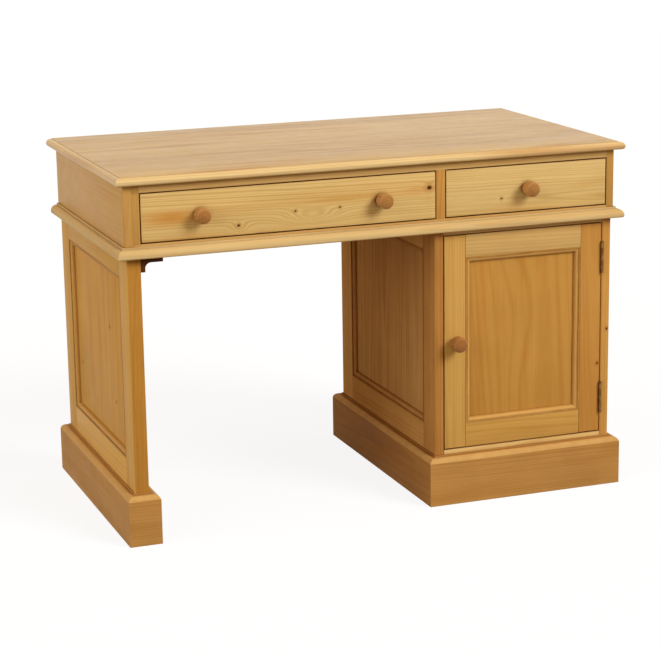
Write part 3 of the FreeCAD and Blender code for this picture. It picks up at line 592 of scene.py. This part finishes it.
plinthPine = pineFinish("plinthPine", nearby=True, early=tint(186, 136, 72), late=tint(156, 102, 48),
                        flame=tint(168, 112, 50), ringShare=0.4, mottle=0.08)
panelPine = pineFinish("panelPine", knots=panelKnots, nearby=True, early=tint(213, 162, 83),
                       late=tint(182, 123, 52), ringWidth=0.0085, ringShare=0.36, ringFade=0.7,
                       warp=0.01, mottle=0.06)
doorPanelPine = pineFinish("doorPanelPine", swirls=panelSwirls, nearby=True, early=tint(198, 145, 69),
                           late=tint(172, 114, 46), ringWidth=0.014, ringShare=0.4, ringFade=0.55,
                           tilt=(0.0, 0.02, 0.05), warp=0.016, uneven=0.014, flameShare=0.6, mottle=0.05)
beadPine = pineFinish("beadPine", nearby=True, quirkShare=0.6, early=tint(206, 156, 82),
                      late=tint(180, 124, 58))
# partly painted highlight: a paler finish for the waist moulding, whose ovolo catches the light, besides
# the wood's own colour
waistPine = pineFinish("waistPine", nearby=True, early=tint(211, 179, 121), late=tint(183, 138, 80),
                       flame=tint(204, 158, 92))
# painted shade: the long crease shade reach darkens the rail under the top's nose and the cupboard floor
# under the door
railPine = pineFinish("railPine", nearby=True, quirkReach=0.012, early=tint(220, 180, 114),
                      late=tint(190, 138, 72), flame=tint(204, 152, 82))
insidePine = pineFinish("insidePine", early=tint(222, 184, 124), late=tint(196, 144, 80),
                        flame=tint(206, 156, 92), roughness=0.6)
knobPine = pineFinish("knobPine", early=tint(181, 129, 70), late=tint(149, 97, 48),
                      flame=tint(159, 103, 50), roughness=0.38, gloss=0.13)
doorKnobPine = pineFinish("doorKnobPine", early=tint(166, 110, 58), late=tint(134, 82, 38),
                          flame=tint(142, 86, 38), roughness=0.38, gloss=0.13)
# partly painted shade: the brackets' dark brown stands for the shade they sit in under the waist as well
# as for their wood
darkWood = pineFinish("darkWood", early=tint(92, 52, 28), late=tint(58, 30, 15), flame=tint(72, 38, 18),
                      rub=tint(120, 76, 44), ringShare=0.6)
hingeBrass = brassFinish("hingeBrass")
screwBrass = brassFinish("screwBrass", metal=tint(150, 120, 72), roughness=0.4)
print("finishes mixed")

# Desk top: a field of glued staves with a moulded lip on three sides
topSizes = {
    "carcass": (-0.5525, 0.5525, -0.278, 0.316, 0.757),  # left, right, front, back, underside
    "lip": 0.0055,
    "arris": 0.0007,
    # painted highlight: the moulded lip is made lighter than the field
    "noseLift": 0.25,
    "stave": 0.1,
    "section": {
        "corners": ((0.0055, 0.0), (0.018, 0.0), (0.018, 0.0165), (0.0055, 0.0165)),
        "rounds": {1: 0.007, 2: 0.0095},
    },
}


def makeTop():
    left, right, front, back, underside = topSizes["carcass"]
    lip = topSizes["lip"]
    low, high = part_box("desk_top")
    bm = startShape("desk_top")
    addBoard(bm, (left - lip, front - lip, low.z), (right + lip, back, high.z), "x",
             arris=topSizes["arris"], staves=topSizes["stave"])
    for corner, run, outward, mitres in threeSides(left, right, front, back, underside):
        addRun(bm, topSizes["section"], corner, run, outward, (0, 0, 1), mitres, lift=topSizes["noseLift"])
    closePiece(bm, "desk_top_wood", topPine, "top_pine", "desk_frame", "desk_top")


makeTop()
print("top glued up")

# Frieze: ends, back, rails, stile and the partition between the drawers
friezeSizes = {
    "railDepth": 0.02,
    "topRail": 0.017,
    "bottomRail": 0.028,
    "arris": 0.0004,
    "corner": 0.003,
    "frontLift": -0.19,
    "postLift": -0.3,
    "railLifts": {"frieze_top_rail": 0.0, "frieze_bottom_rail": -0.22},
    # painted shade: grime on the rails' arrises darkens the drawer gaps
    "railWear": -0.3,
}


def makeFrieze():
    arris = friezeSizes["arris"]
    # the front edge of each end is lipped with an upright strip
    for node, outer in (("carcass_left_end", 0), ("carcass_right_end", 1)):
        low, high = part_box(node)
        bm = startShape(node)
        addBoard(bm, low, high, "y", arris=arris, wear=0.0,
                 softCorner=((low, high)[outer].x, low.y, friezeSizes["corner"]))
        lipping = [face for face in bm.faces if face.normal.y < -0.5]
        layGrain(bm, lipping, "z", (low + high) / 2, "x", lift=friezeSizes["frontLift"])
        closePiece(bm, node + "_wood", endPine, "frame_pine", "desk_frame", node)
    boardPiece("carcass_back", "x", insidePine, "inside_pine")
    # the left post's figure runs on over the ends of the rails
    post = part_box("frieze_left_stile")[1].x
    for node, lift in friezeSizes["railLifts"].items():
        low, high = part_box(node)
        bm = startShape(node)
        addBoard(bm, low, high, "x", arris=arris, wear=friezeSizes["railWear"], lift=lift)
        geom = bm.faces[:] + bm.edges[:] + bm.verts[:]
        bmesh.ops.bisect_plane(bm, geom=geom, plane_co=(post, 0, 0), plane_no=(1, 0, 0))
        lapped = [face for face in bm.faces if face.calc_center_median().x < post]
        layGrain(bm, lapped, "z", (low + high) / 2, "x", lift=friezeSizes["postLift"])
        worn = bm.faces.layers.float["worn"]
        for face in lapped:
            face[worn] = 0.0
        closePiece(bm, node + "_wood", railPine, "frame_pine", "desk_frame", node)
    boardPiece("frieze_left_stile", "z", endPine, "frame_pine", arris=arris, wear=0.0,
               lift=friezeSizes["frontLift"], edge=0.0)
    # the partition is let in behind the rails, so its front edge is shorter
    low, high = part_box("drawer_partition")
    bm = startShape("drawer_partition")
    behind = low.y + friezeSizes["railDepth"]
    addBoard(bm, (low.x, behind, low.z), high, "y")
    addBoard(bm, (low.x, low.y, low.z + friezeSizes["bottomRail"]),
             (high.x, behind, high.z - friezeSizes["topRail"]), "z", arris=arris)
    closePiece(bm, "drawer_partition_wood", plainPine, "frame_pine", "desk_frame", "drawer_partition")


makeFrieze()

# Waist moulding under the frieze
waistSizes = {
    "carcass": (-0.5525, 0.5525, -0.278, 0.298, 0.607),
    "section": {
        "corners": ((0.0, 0.0), (0.018, 0.0), (0.018, 0.019), (0.004, 0.019), (0.004, 0.023),
                    (0.0, 0.023)),
        "rounds": {1: 0.004, 2: 0.013},
    },
}


def makeWaist():
    nodes = ("waist_moulding_front", "waist_moulding_left", "waist_moulding_right")
    for node, (corner, run, outward, mitres) in zip(nodes, threeSides(*waistSizes["carcass"])):
        bm = startShape(node)
        addRun(bm, waistSizes["section"], corner, run, outward, (0, 0, 1), mitres)
        closePiece(bm, node + "_wood", waistPine, "moulding_pine", "desk_frame", node)


makeWaist()
print("frieze and waist moulding fitted")

# Panelled leg and cupboard sides
sideSizes = {
    "stile": 0.065,
    "topRail": 0.048,
    "bottomRail": 0.168,
    "tongue": 0.009,
    "stileArris": 0.0016,
    "railArris": 0.0005,
    "stave": 0.13,
    "bead": {
        "corners": ((0.0, 0.0), (0.013, 0.0), (0.013, 0.002), (0.0115, 0.002), (0.0115, 0.0085),
                    (0.003, 0.0085), (0.003, 0.01), (0.0, 0.01)),
        "rounds": {4: 0.0062},
    },
}


def makeSide(name, finish, beads, edge, panel=panelPine, bead=beadPine, wear=0.0, lifts=(0.0, 0.0)):
    # beads says on which side of the panel each node's mouldings are planted
    size = sideSizes
    pairPiece(name + "_stiles", "y", (size["stile"], size["stile"]), "z", finish, "frame_pine",
              arris=size["stileArris"], edge=edge, wear=wear, lifts=lifts)
    pairPiece(name + "_rails", "z", (size["bottomRail"], size["topRail"]), "y", finish, "frame_pine",
              trim=("y", size["tongue"]), arris=size["railArris"], wear=0.0)
    boardPiece(name + "_panel", "z", panel, "panel_pine", staves=size["stave"])
    for node, side in beads.items():
        low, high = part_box(node)
        face = high.x if side < 0 else low.x
        bm = startShape(node)
        addBeads(bm, size["bead"], (face, low.y, low.z), (face, high.y, high.z), (side, 0, 0))
        closePiece(bm, node + "_wood", bead, "moulding_pine", "desk_frame", node)


makeSide("leg", legPine, {"leg_outer_moulding": -1, "leg_inner_moulding": 1}, edge=0.42, wear=0.5)
# painted light: the rear stile of the kneehole side is lifted by 0.26 for light reaching it from behind
makeSide("cupboard_left", kneePine, {"cupboard_left_moulding": -1}, panel=kneePanelPine, bead=kneeBeadPine,
         edge=0.18, lifts=(-0.06, 0.26))
makeSide("cupboard_right", plainPine, {"cupboard_right_moulding": 1}, edge=0.08)

# Plinths, mitred round the leg and the cupboard
plinthSizes = {
    "thickness": 0.02,
    "pith": (0.02, 0.045),
    # rub with a painted highlight along the plinth's top rounding
    "rub": 1.5,
    "section": {
        "corners": ((0.0, 0.0), (0.02, 0.0), (0.02, 0.107), (0.003, 0.107), (0.003, 0.11), (0.0, 0.11)),
        "rounds": {2: 0.013},
    },
}


def makePlinth(name, sideLift):
    low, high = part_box(name + "_plinth_sides")
    inset = plinthSizes["thickness"]
    left, right = low.x + inset, high.x - inset
    front, back = low.y + inset, high.y - inset
    ends = (((left, front, low.z), (right - left, 0, 0), (0, -1, 0)),
            ((left, back, low.z), (right - left, 0, 0), (0, 1, 0)))
    sides = (((left, front, low.z), (0, back - front, 0), (-1, 0, 0)),
             ((right, front, low.z), (0, back - front, 0), (1, 0, 0)))
    for node, lengths in ((name + "_plinth_ends", ends), (name + "_plinth_sides", sides)):
        bm = startShape(node)
        for corner, run, outward in lengths:
            addRun(bm, plinthSizes["section"], corner, run, outward, (0, 0, 1), pith=plinthSizes["pith"],
                   lift=sideLift if lengths is sides else 0.0, rub=plinthSizes["rub"])
        closePiece(bm, node + "_wood", plinthPine, "plinth_pine", "desk_frame", node)


makePlinth("leg", sideLift=0.07)
# painted shade: the cupboard plinth's sides are made darker for the shade in the kneehole
makePlinth("cupboard", sideLift=-0.22)
print("leg and cupboard sides standing on their plinths")

# Dark brackets under the waist, in the corners of the kneehole
bracketSizes = {
    "foot": 0.009,
    "tip": 0.0115,
    "curve": 0.012,
    "steps": 10,
    "thickness": 0.02,
    "pith": (0.03, 0.04),
}


def makeBrackets():
    low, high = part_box("corner_brackets")
    size = bracketSizes
    bm = startShape("corner_brackets")
    foot = low.x + size["foot"]
    tip = high.z - size["tip"]
    shape = ((low.x, low.z), (foot, low.z), (foot, tip), (high.x, tip), (high.x, high.z), (low.x, high.z))
    for front in (low.y, high.y - size["thickness"]):
        corners = [(x, front, z) for x, z in shape]
        fresh = drawOut(bm, corners, {2: size["curve"]}, size["steps"], (0, size["thickness"], 0))[2]
        layGrain(bm, fresh, "x", Vector((low.x, front, low.z)), "y", size["pith"])
    closePiece(bm, "corner_brackets_wood", darkWood, "dark_wood", "desk_frame", "corner_brackets")


makeBrackets()

# Inside of the cupboard, and the drawers' runners
insideSizes = {
    # painted shade: grime on the floor's front arris darkens the gap under the door
    "floorWear": -0.6,
    "floorEdge": 0.02,
    "backStave": 0.095,
    "shelfStave": 0.13,
}
boardPiece("cupboard_floor", "x", railPine, "inside_pine", wear=insideSizes["floorWear"],
           edge=insideSizes["floorEdge"])
boardPiece("cupboard_top", "x", insidePine, "inside_pine")
boardPiece("cupboard_back", "z", insidePine, "inside_pine", staves=insideSizes["backStave"])
boardPiece("cupboard_shelf", "x", insidePine, "inside_pine", staves=insideSizes["shelfStave"])
boardPiece("door_stop", "z", insidePine, "inside_pine")
for node, along in (("drawer_runners", "y"), ("drawer_kickers", "y"), ("shelf_pegs", "x")):
    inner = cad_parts[node]
    inner.data.materials.clear()
    inner.data.materials.append(pineFinish(node + "_pine", along=along, early=tint(222, 186, 128),
                                           late=tint(198, 148, 84), roughness=0.6))
print("cupboard fitted inside")

# Turned knobs, each in one piece round its own axis
knobSizes = {
    "steps": 48,
    "base": 0.011,
    "baseHeight": 0.0025,
    "neck": 0.0095,
    "neckHeight": 0.006,
    "rim": 0.0165,
    "rimLow": 0.014,
    "edge": 0.008,
    "dome": 0.002,
    "height": 0.038,
    "domeSteps": 6,
    "edgeSteps": 7,
    "flareSteps": 8,
    "footSteps": 5,
    "merge": 0.00001,
    "pith": (0.012, 0.02),
    "sideLift": 0.14,
    "endShade": 0.28,
}


def addArc(bm, start, centre, angle, steps):
    # draws an arc on from a point and gives back its end
    turned = bmesh.ops.spin(bm, geom=[start], cent=centre, axis=(0, 0, 1), angle=angle, steps=steps)
    return pointsOf(turned["geom_last"])[0]


def addKnob(bm, spot):
    size = knobSizes
    before = set(bm.faces)
    older = set(bm.verts)
    # the section lies in x and y with the knob's axis along -y
    pole = bm.verts.new((0, -size["height"], 0))
    face = size["rim"] - size["edge"]
    dome = (face ** 2 + size["dome"] ** 2) / (size["dome"] * 2)
    edge = addArc(bm, pole, (0, dome - size["height"], 0), math.asin(face / dome), size["domeSteps"])
    rim = addArc(bm, edge, (face, size["dome"] + size["edge"] - size["height"], 0), math.pi / 2,
                 size["edgeSteps"])
    low = bm.verts.new((size["rim"], -size["rimLow"], 0))
    bm.edges.new((rim, low))
    flare = size["rim"] - size["neck"]
    rise = size["rimLow"] - size["neckHeight"]
    flareRadius = (flare ** 2 + rise ** 2) / (flare * 2)
    turn = math.atan2(rise, flareRadius - flare)
    neck = addArc(bm, low, (size["rim"] - flareRadius, -size["rimLow"], 0), turn, size["flareSteps"])
    step = size["base"] - size["neck"]
    drop = size["neckHeight"] - size["baseHeight"]
    hollow = (step ** 2 + drop ** 2) / (step * 2)
    foot = addArc(bm, neck, (size["neck"] + hollow, -size["neckHeight"], 0), -math.asin(drop / hollow),
                  size["footSteps"])
    seat = bm.verts.new((size["base"], 0, 0))
    bm.edges.new((foot, seat))
    middle = bm.verts.new((0, 0, 0))
    bm.edges.new((seat, middle))
    fresh = newOnes(bm.verts, older)
    edges = unique(line for vert in fresh for line in vert.link_edges)
    bmesh.ops.spin(bm, geom=fresh + edges, cent=(0, 0, 0), axis=(0, 1, 0), angle=math.tau,
                   steps=size["steps"], use_merge=True)
    bmesh.ops.remove_doubles(bm, verts=newOnes(bm.verts, older), dist=size["merge"])
    bmesh.ops.translate(bm, vec=spot, verts=newOnes(bm.verts, older))
    faces = newOnes(bm.faces, before)
    for face in faces:
        face.smooth = True
    layGrain(bm, faces, "y", Vector(spot), "x", size["pith"], lift=size["sideLift"],
             end=size["endShade"])


def knobPiece(node, spots, body, finish=knobPine):
    bm = startShape(node)
    for spot in spots:
        addKnob(bm, spot)
    closePiece(bm, node + "_wood", finish, "knob_pine", body, node)


# Drawers
drawerSizes = {
    "side": 0.012,
    "arris": 0.002,
    "bottomArris": 0.0005,
    "pith": (0.012, 0.05),
    # painted shade: grime on the arrises darkens the gaps round the drawers
    "wear": -0.25,
    "faceY": -0.278,
    "knobZ": 0.6875,
    "knobs": {"left_drawer": (-0.3925, 0.0055), "right_drawer": (0.343,)},
}
leftDrawerKnots = (
    ((-0.3099, -0.278, 0.6572), (0.01, 0.03, 0.008), 0.004),
    ((-0.1857, -0.278, 0.6776), (0.007, 0.03, 0.006), 0.002),
    ((-0.0873, -0.278, 0.6784), (0.007, 0.03, 0.006), 0.002),
    ((0.1152, -0.278, 0.7043), (0.018, 0.03, 0.014), 0.011),
)
leftDrawerSwirls = (
    ((-0.1497, -0.278, 0.6622), (0.06, 0.06, 0.017), 0.027),
    ((-0.306, -0.278, 0.648), (0.022, 0.06, 0.014), 0.014),
)
leftDrawerStains = (
    ((-0.452, -0.278, 0.683), (0.055, 0.05, 0.014), 0.8),
    ((0.09, -0.278, 0.7), (0.035, 0.05, 0.012), 0.55),
    ((0.113, -0.278, 0.68), (0.014, 0.05, 0.007), 0.4),
)
rightDrawerKnots = (
    ((0.2829, -0.278, 0.6681), (0.007, 0.03, 0.006), 0.003),
)
# painted shadow: the wide crease shade reach and full share darken the fronts round the knobs' feet and by
# the gaps, in a reddish brown
drawerFigure = {
    "nearby": True,
    "quirkReach": 0.032,
    "quirkShare": 1.3,
    "dirt": tint(112, 54, 16),
    "ringFade": 0.62,
    "flameShare": 0.8,
    "warp": 0.01,
    "uneven": 0.013,
    "shiver": 0.0042,
}
drawerPine = {
    "left_drawer": pineFinish("leftDrawerPine", knots=leftDrawerKnots, swirls=leftDrawerSwirls,
                              stains=leftDrawerStains, early=tint(222, 186, 117), late=tint(182, 130, 60),
                              flame=tint(200, 146, 70), ringShare=0.5, **drawerFigure),
    "right_drawer": pineFinish("rightDrawerPine", knots=rightDrawerKnots, early=tint(225, 191, 123),
                               late=tint(188, 138, 68), flame=tint(206, 154, 80), ringShare=0.44,
                               **drawerFigure),
}


def makeDrawer(name):
    side = drawerSizes["side"]
    boardPiece(name + "_front", "x", drawerPine[name], "drawer_pine", name, arris=drawerSizes["arris"],
               pith=drawerSizes["pith"], wear=drawerSizes["wear"])
    pairPiece(name + "_sides", "x", (side, side), "y", insidePine, "inside_pine", name)
    boardPiece(name + "_back", "x", insidePine, "inside_pine", name)
    boardPiece(name + "_bottom", "x", insidePine, "inside_pine", name, arris=drawerSizes["bottomArris"])
    spots = [(x, drawerSizes["faceY"], drawerSizes["knobZ"]) for x in drawerSizes["knobs"][name]]
    knobPiece(name + "_knobs", spots, name)


makeDrawer("left_drawer")
makeDrawer("right_drawer")
print("drawers put in")

# Cupboard door
doorSizes = {
    "tongue": 0.009,
    "arris": 0.0011,
    # painted shade: grime on the stiles' and rails' arrises darkens the gaps round the door
    "stileWear": -0.7,
    "railArris": 0.0004,
    "railWear": -0.15,
    "bottomLift": -0.06,
    "stave": 0.2,
    "knob": (0.1755, -0.274, 0.36),
}


def makeDoor():
    for node, finish in (("door_lock_stile", doorPine), ("door_hinge_stile", hingeStilePine)):
        boardPiece(node, "z", finish, "frame_pine", "door", arris=doorSizes["arris"],
                   wear=doorSizes["stileWear"])
    for node, finish, lift in (("door_top_rail", doorRailPine, 0.0),
                               ("door_bottom_rail", doorPine, doorSizes["bottomLift"])):
        low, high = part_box(node)
        low.x += doorSizes["tongue"]
        high.x -= doorSizes["tongue"]
        bm = startShape(node)
        addBoard(bm, low, high, "x", arris=doorSizes["railArris"], wear=doorSizes["railWear"], lift=lift)
        closePiece(bm, node + "_wood", finish, "frame_pine", "door", node)
    boardPiece("door_panel", "z", doorPanelPine, "panel_pine", "door", staves=doorSizes["stave"])
    low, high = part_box("door_moulding")
    bm = startShape("door_moulding")
    addBeads(bm, sideSizes["bead"], (low.x, high.y, low.z), (high.x, high.y, high.z), (0, -1, 0))
    closePiece(bm, "door_moulding_wood", beadPine, "moulding_pine", "door", "door_moulding")
    knobPiece("door_knob", [doorSizes["knob"]], "door", doorKnobPine)


makeDoor()
print("door hung")

# Butt hinges: leaves with their knuckles, pins and slotted screws
hingeSizes = {
    "axis": (0.5273, -0.2775),
    "lows": (0.164, 0.483),
    "length": 0.07,
    "knuckles": 5,
    "barrel": 0.003,
    "barrelSteps": 28,
    "barrelEase": 0.12,
    "gap": 0.00015,
    "plateFront": -0.2742,
    "plateBack": -0.252,
    "doorPlate": (0.5243, 0.52625),
    "framePlate": (0.52835, 0.5303),
    "plateArris": 0.0003,
    "webArris": 0.0002,
    "webLap": 0.0004,
    "screwY": -0.263,
    "screwSpacing": 0.024,
    "screwHead": 0.00325,
    "screwSteps": 24,
    "screwProud": 0.0003,
    "screwRim": 0.0003,
    "slot": 0.0005,
    "slotDepth": 0.8,
    "pin": 0.42,  # of the barrel
    "pinHead": 0.0027,
    "pinHeadHeight": 0.002,
}


def addKnuckle(bm, low, high, radius):
    made = bmesh.ops.create_cone(bm, cap_ends=True, segments=hingeSizes["barrelSteps"], radius1=radius,
                                 radius2=radius, depth=high - low)["verts"]
    bmesh.ops.translate(bm, vec=(*hingeSizes["axis"], (low + high) / 2), verts=made)
    rims = unique(line for vert in made for line in vert.link_edges
                  if abs(line.verts[0].co.z - line.verts[1].co.z) < 1e-6)
    eased = ease(bm, rims, radius * hingeSizes["barrelEase"], boardLook["arrisSteps"])
    for vert in made:
        for face in vert.link_faces if vert.is_valid else ():
            face.smooth = True
    for face in eased:
        face.smooth = True


def addLeaf(bm, plate, low, numbers):
    size = hingeSizes
    pitch = size["length"] / size["knuckles"]
    addBoard(bm, (plate[0], size["plateFront"], low),
             (plate[1], size["plateBack"], low + size["length"]), "z", arris=size["plateArris"])
    # a web joins each knuckle to the plate
    for number in numbers:
        bottom = low + pitch * number + size["gap"]
        top = low + pitch * (number + 1) - size["gap"]
        addKnuckle(bm, bottom, top, size["barrel"])
        addBoard(bm, (plate[0], size["axis"][1], bottom),
                 (plate[1], size["plateFront"] + size["webLap"], top), "z", arris=size["webArris"])


def addScrew(bm, spot, facing):
    # a low round head, slotted, made flat at the origin and then turned into its place
    size = hingeSizes
    older = set(bm.verts)
    made = bmesh.ops.create_circle(bm, cap_ends=True, segments=size["screwSteps"],
                                   radius=size["screwHead"])["verts"]
    face = made[0].link_faces[0]
    raised = bmesh.ops.extrude_face_region(bm, geom=[face])["geom"]
    lid = next(item for item in raised if isinstance(item, bmesh.types.BMFace))
    bmesh.ops.translate(bm, vec=(0, 0, size["screwProud"]), verts=lid.verts)
    bmesh.ops.inset_region(bm, faces=[lid], thickness=size["screwRim"], use_even_offset=True)
    tilt = Matrix.Rotation(dice.uniform(0, math.pi), 3, "Z")
    whole = set(lid.verts)
    for side in (-1, 1):
        faces = [item for item in bm.faces if set(item.verts) <= whole]
        geom = faces + unique(line for item in faces for line in item.edges)
        geom += unique(vert for item in faces for vert in item.verts)
        cut = bmesh.ops.bisect_plane(bm, geom=geom, plane_no=tilt @ Vector((0, 1, 0)),
                                     plane_co=tilt @ Vector((0, size["slot"] * side, 0)))["geom_cut"]
        whole |= set(pointsOf(cut))
    faces = [item for item in bm.faces if set(item.verts) <= whole]
    slot = min(faces, key=lambda item: abs((tilt.inverted() @ item.calc_center_median()).y))
    sunk = pointsOf(bmesh.ops.extrude_face_region(bm, geom=[slot])["geom"])
    bmesh.ops.translate(bm, vec=(0, 0, -size["screwProud"] * size["slotDepth"]), verts=sunk)
    bmesh.ops.delete(bm, geom=[slot], context="FACES_ONLY")
    turn = Matrix.Translation(spot) @ Matrix.Rotation(math.pi / 2 * facing, 4, "Y")
    bmesh.ops.transform(bm, matrix=turn, verts=newOnes(bm.verts, older))


def makeHinges():
    size = hingeSizes
    leaves = (("hinge_door_leaves", "hinge_door_screws", "door", size["doorPlate"], size["doorPlate"][1],
               1, range(1, size["knuckles"], 2)),
              ("hinge_frame_leaves", "hinge_frame_screws", "desk_frame", size["framePlate"],
               size["framePlate"][0], -1, range(0, size["knuckles"], 2)))
    for leafNode, screwNode, body, plate, faceX, facing, numbers in leaves:
        bm = startShape(leafNode)
        for low in size["lows"]:
            addLeaf(bm, plate, low, numbers)
        closePiece(bm, leafNode + "_brass", hingeBrass, "hinge_brass", body, leafNode)
        bm = startShape(screwNode)
        for low in size["lows"]:
            for number in (-1, 0, 1):
                z = low + size["length"] / 2 + number * size["screwSpacing"]
                addScrew(bm, Vector((faceX, size["screwY"], z)), facing)
        closePiece(bm, screwNode + "_steel", screwBrass, "screw_steel", body, screwNode)
    bm = startShape("hinge_pins")
    for low in size["lows"]:
        top = low + size["length"]
        addKnuckle(bm, top, top + size["pinHeadHeight"], size["pinHead"])
        addKnuckle(bm, low + size["gap"], top, size["barrel"] * size["pin"])
    closePiece(bm, "hinge_pins_brass", hingeBrass, "hinge_brass", "desk_frame", "hinge_pins")


makeHinges()
print("hinges screwed on")

# Floor, light and camera
studio = {
    "floorSize": 40,
    "floorSeen": (0.16, 0.16, 0.16, 1.0),
    "floorUnseen": (0.3, 0.29, 0.28, 1.0),
    "floorGlow": 0.875,
    "sky": 0.42,
    "skyTint": (1.0, 0.76, 0.53, 1.0),
    "keyTint": (0.96, 1.02, 1.1),
    "fillTint": (1.0, 1.025, 1.05),
    "keyTurn": (58.0, 0.0, 36.0),
    "keyStrength": 2.35,
    "keyAngle": 28.0,
    "fillTurn": (80.0, 0.0, -75.0),
    "fillStrength": 1.7,
    "fillAngle": 60.0,
}


def seenRay(tree):
    # rays that see the floor and the sky: straight, in a gloss or through glass
    rays = addNode(tree, "ShaderNodeLightPath").outputs
    seen = sums(tree, "MAXIMUM", rays["Is Camera Ray"], rays["Is Glossy Ray"])
    return sums(tree, "MAXIMUM", seen, rays["Is Transmission Ray"])


def makeFloor():
    bm = bmesh.new()
    bmesh.ops.create_grid(bm, x_segments=1, y_segments=1, size=studio["floorSize"])
    mesh = bpy.data.meshes.new("floor")
    bm.to_mesh(mesh)
    bm.free()
    floor = addObject("floor", mesh)
    material = bpy.data.materials.new("floorPaper")
    material.use_nodes = True
    tree = material.node_tree
    tree.nodes.clear()
    seen = seenRay(tree)
    paper = blendColour(tree, seen, studio["floorUnseen"], studio["floorSeen"])
    matt = addNode(tree, "ShaderNodeBsdfDiffuse", {"Color": paper})
    glow = sums(tree, "MULTIPLY", seen, studio["floorGlow"])
    glow = addNode(tree, "ShaderNodeEmission", {"Strength": glow})
    both = addNode(tree, "ShaderNodeAddShader", {0: matt.outputs[0], 1: glow.outputs[0]})
    addNode(tree, "ShaderNodeOutputMaterial", {"Surface": both.outputs[0]})
    mesh.materials.append(material)


def makeLight():
    world = bpy.data.worlds.new("studio")
    bpy.context.scene.world = world
    world.use_nodes = True
    tree = world.node_tree
    tree.nodes.clear()
    seen = seenRay(tree)
    strength = between(tree, seen, 0.0, 1.0, studio["sky"], 1.0, "LINEAR")
    colour = blendColour(tree, seen, studio["skyTint"], (1, 1, 1, 1))
    sky = addNode(tree, "ShaderNodeBackground", {"Color": colour, "Strength": strength})
    addNode(tree, "ShaderNodeOutputWorld", {"Surface": sky.outputs[0]})
    for name in ("key", "fill"):
        light = bpy.data.lights.new(name, "SUN")
        light.energy = studio[name + "Strength"]
        light.color = studio[name + "Tint"]
        light.angle = math.radians(studio[name + "Angle"])
        lamp = addObject(name, light)
        lamp.rotation_euler = [math.radians(turn) for turn in studio[name + "Turn"]]
        lamp.visible_glossy = False  # no glare on the waxed top


makeFloor()
makeLight()

cameraView = {
    "spot": (-1.6017, -4.3168, 1.4611),
    "azimuth": -20.224,
    "elevation": 13.633,
    "roll": -0.906,
    "lens": 114.53,
    "sensor": 36,
    "reach": 100,
}


def makeCamera():
    data = bpy.data.cameras.new("camera")
    data.lens = cameraView["lens"]
    data.sensor_width = cameraView["sensor"]
    data.clip_end = cameraView["reach"]
    camera = addObject("camera", data)
    turn = Matrix.Rotation(math.radians(cameraView["azimuth"]), 4, "Z")
    turn = turn @ Matrix.Rotation(math.radians(90 - cameraView["elevation"]), 4, "X")
    turn = turn @ Matrix.Rotation(math.radians(cameraView["roll"]), 4, "Z")
    camera.matrix_world = Matrix.Translation(cameraView["spot"]) @ turn
    bpy.context.scene.camera = camera


makeCamera()
bpy.context.scene.view_settings.view_transform = "Standard"
print("studio and camera set")
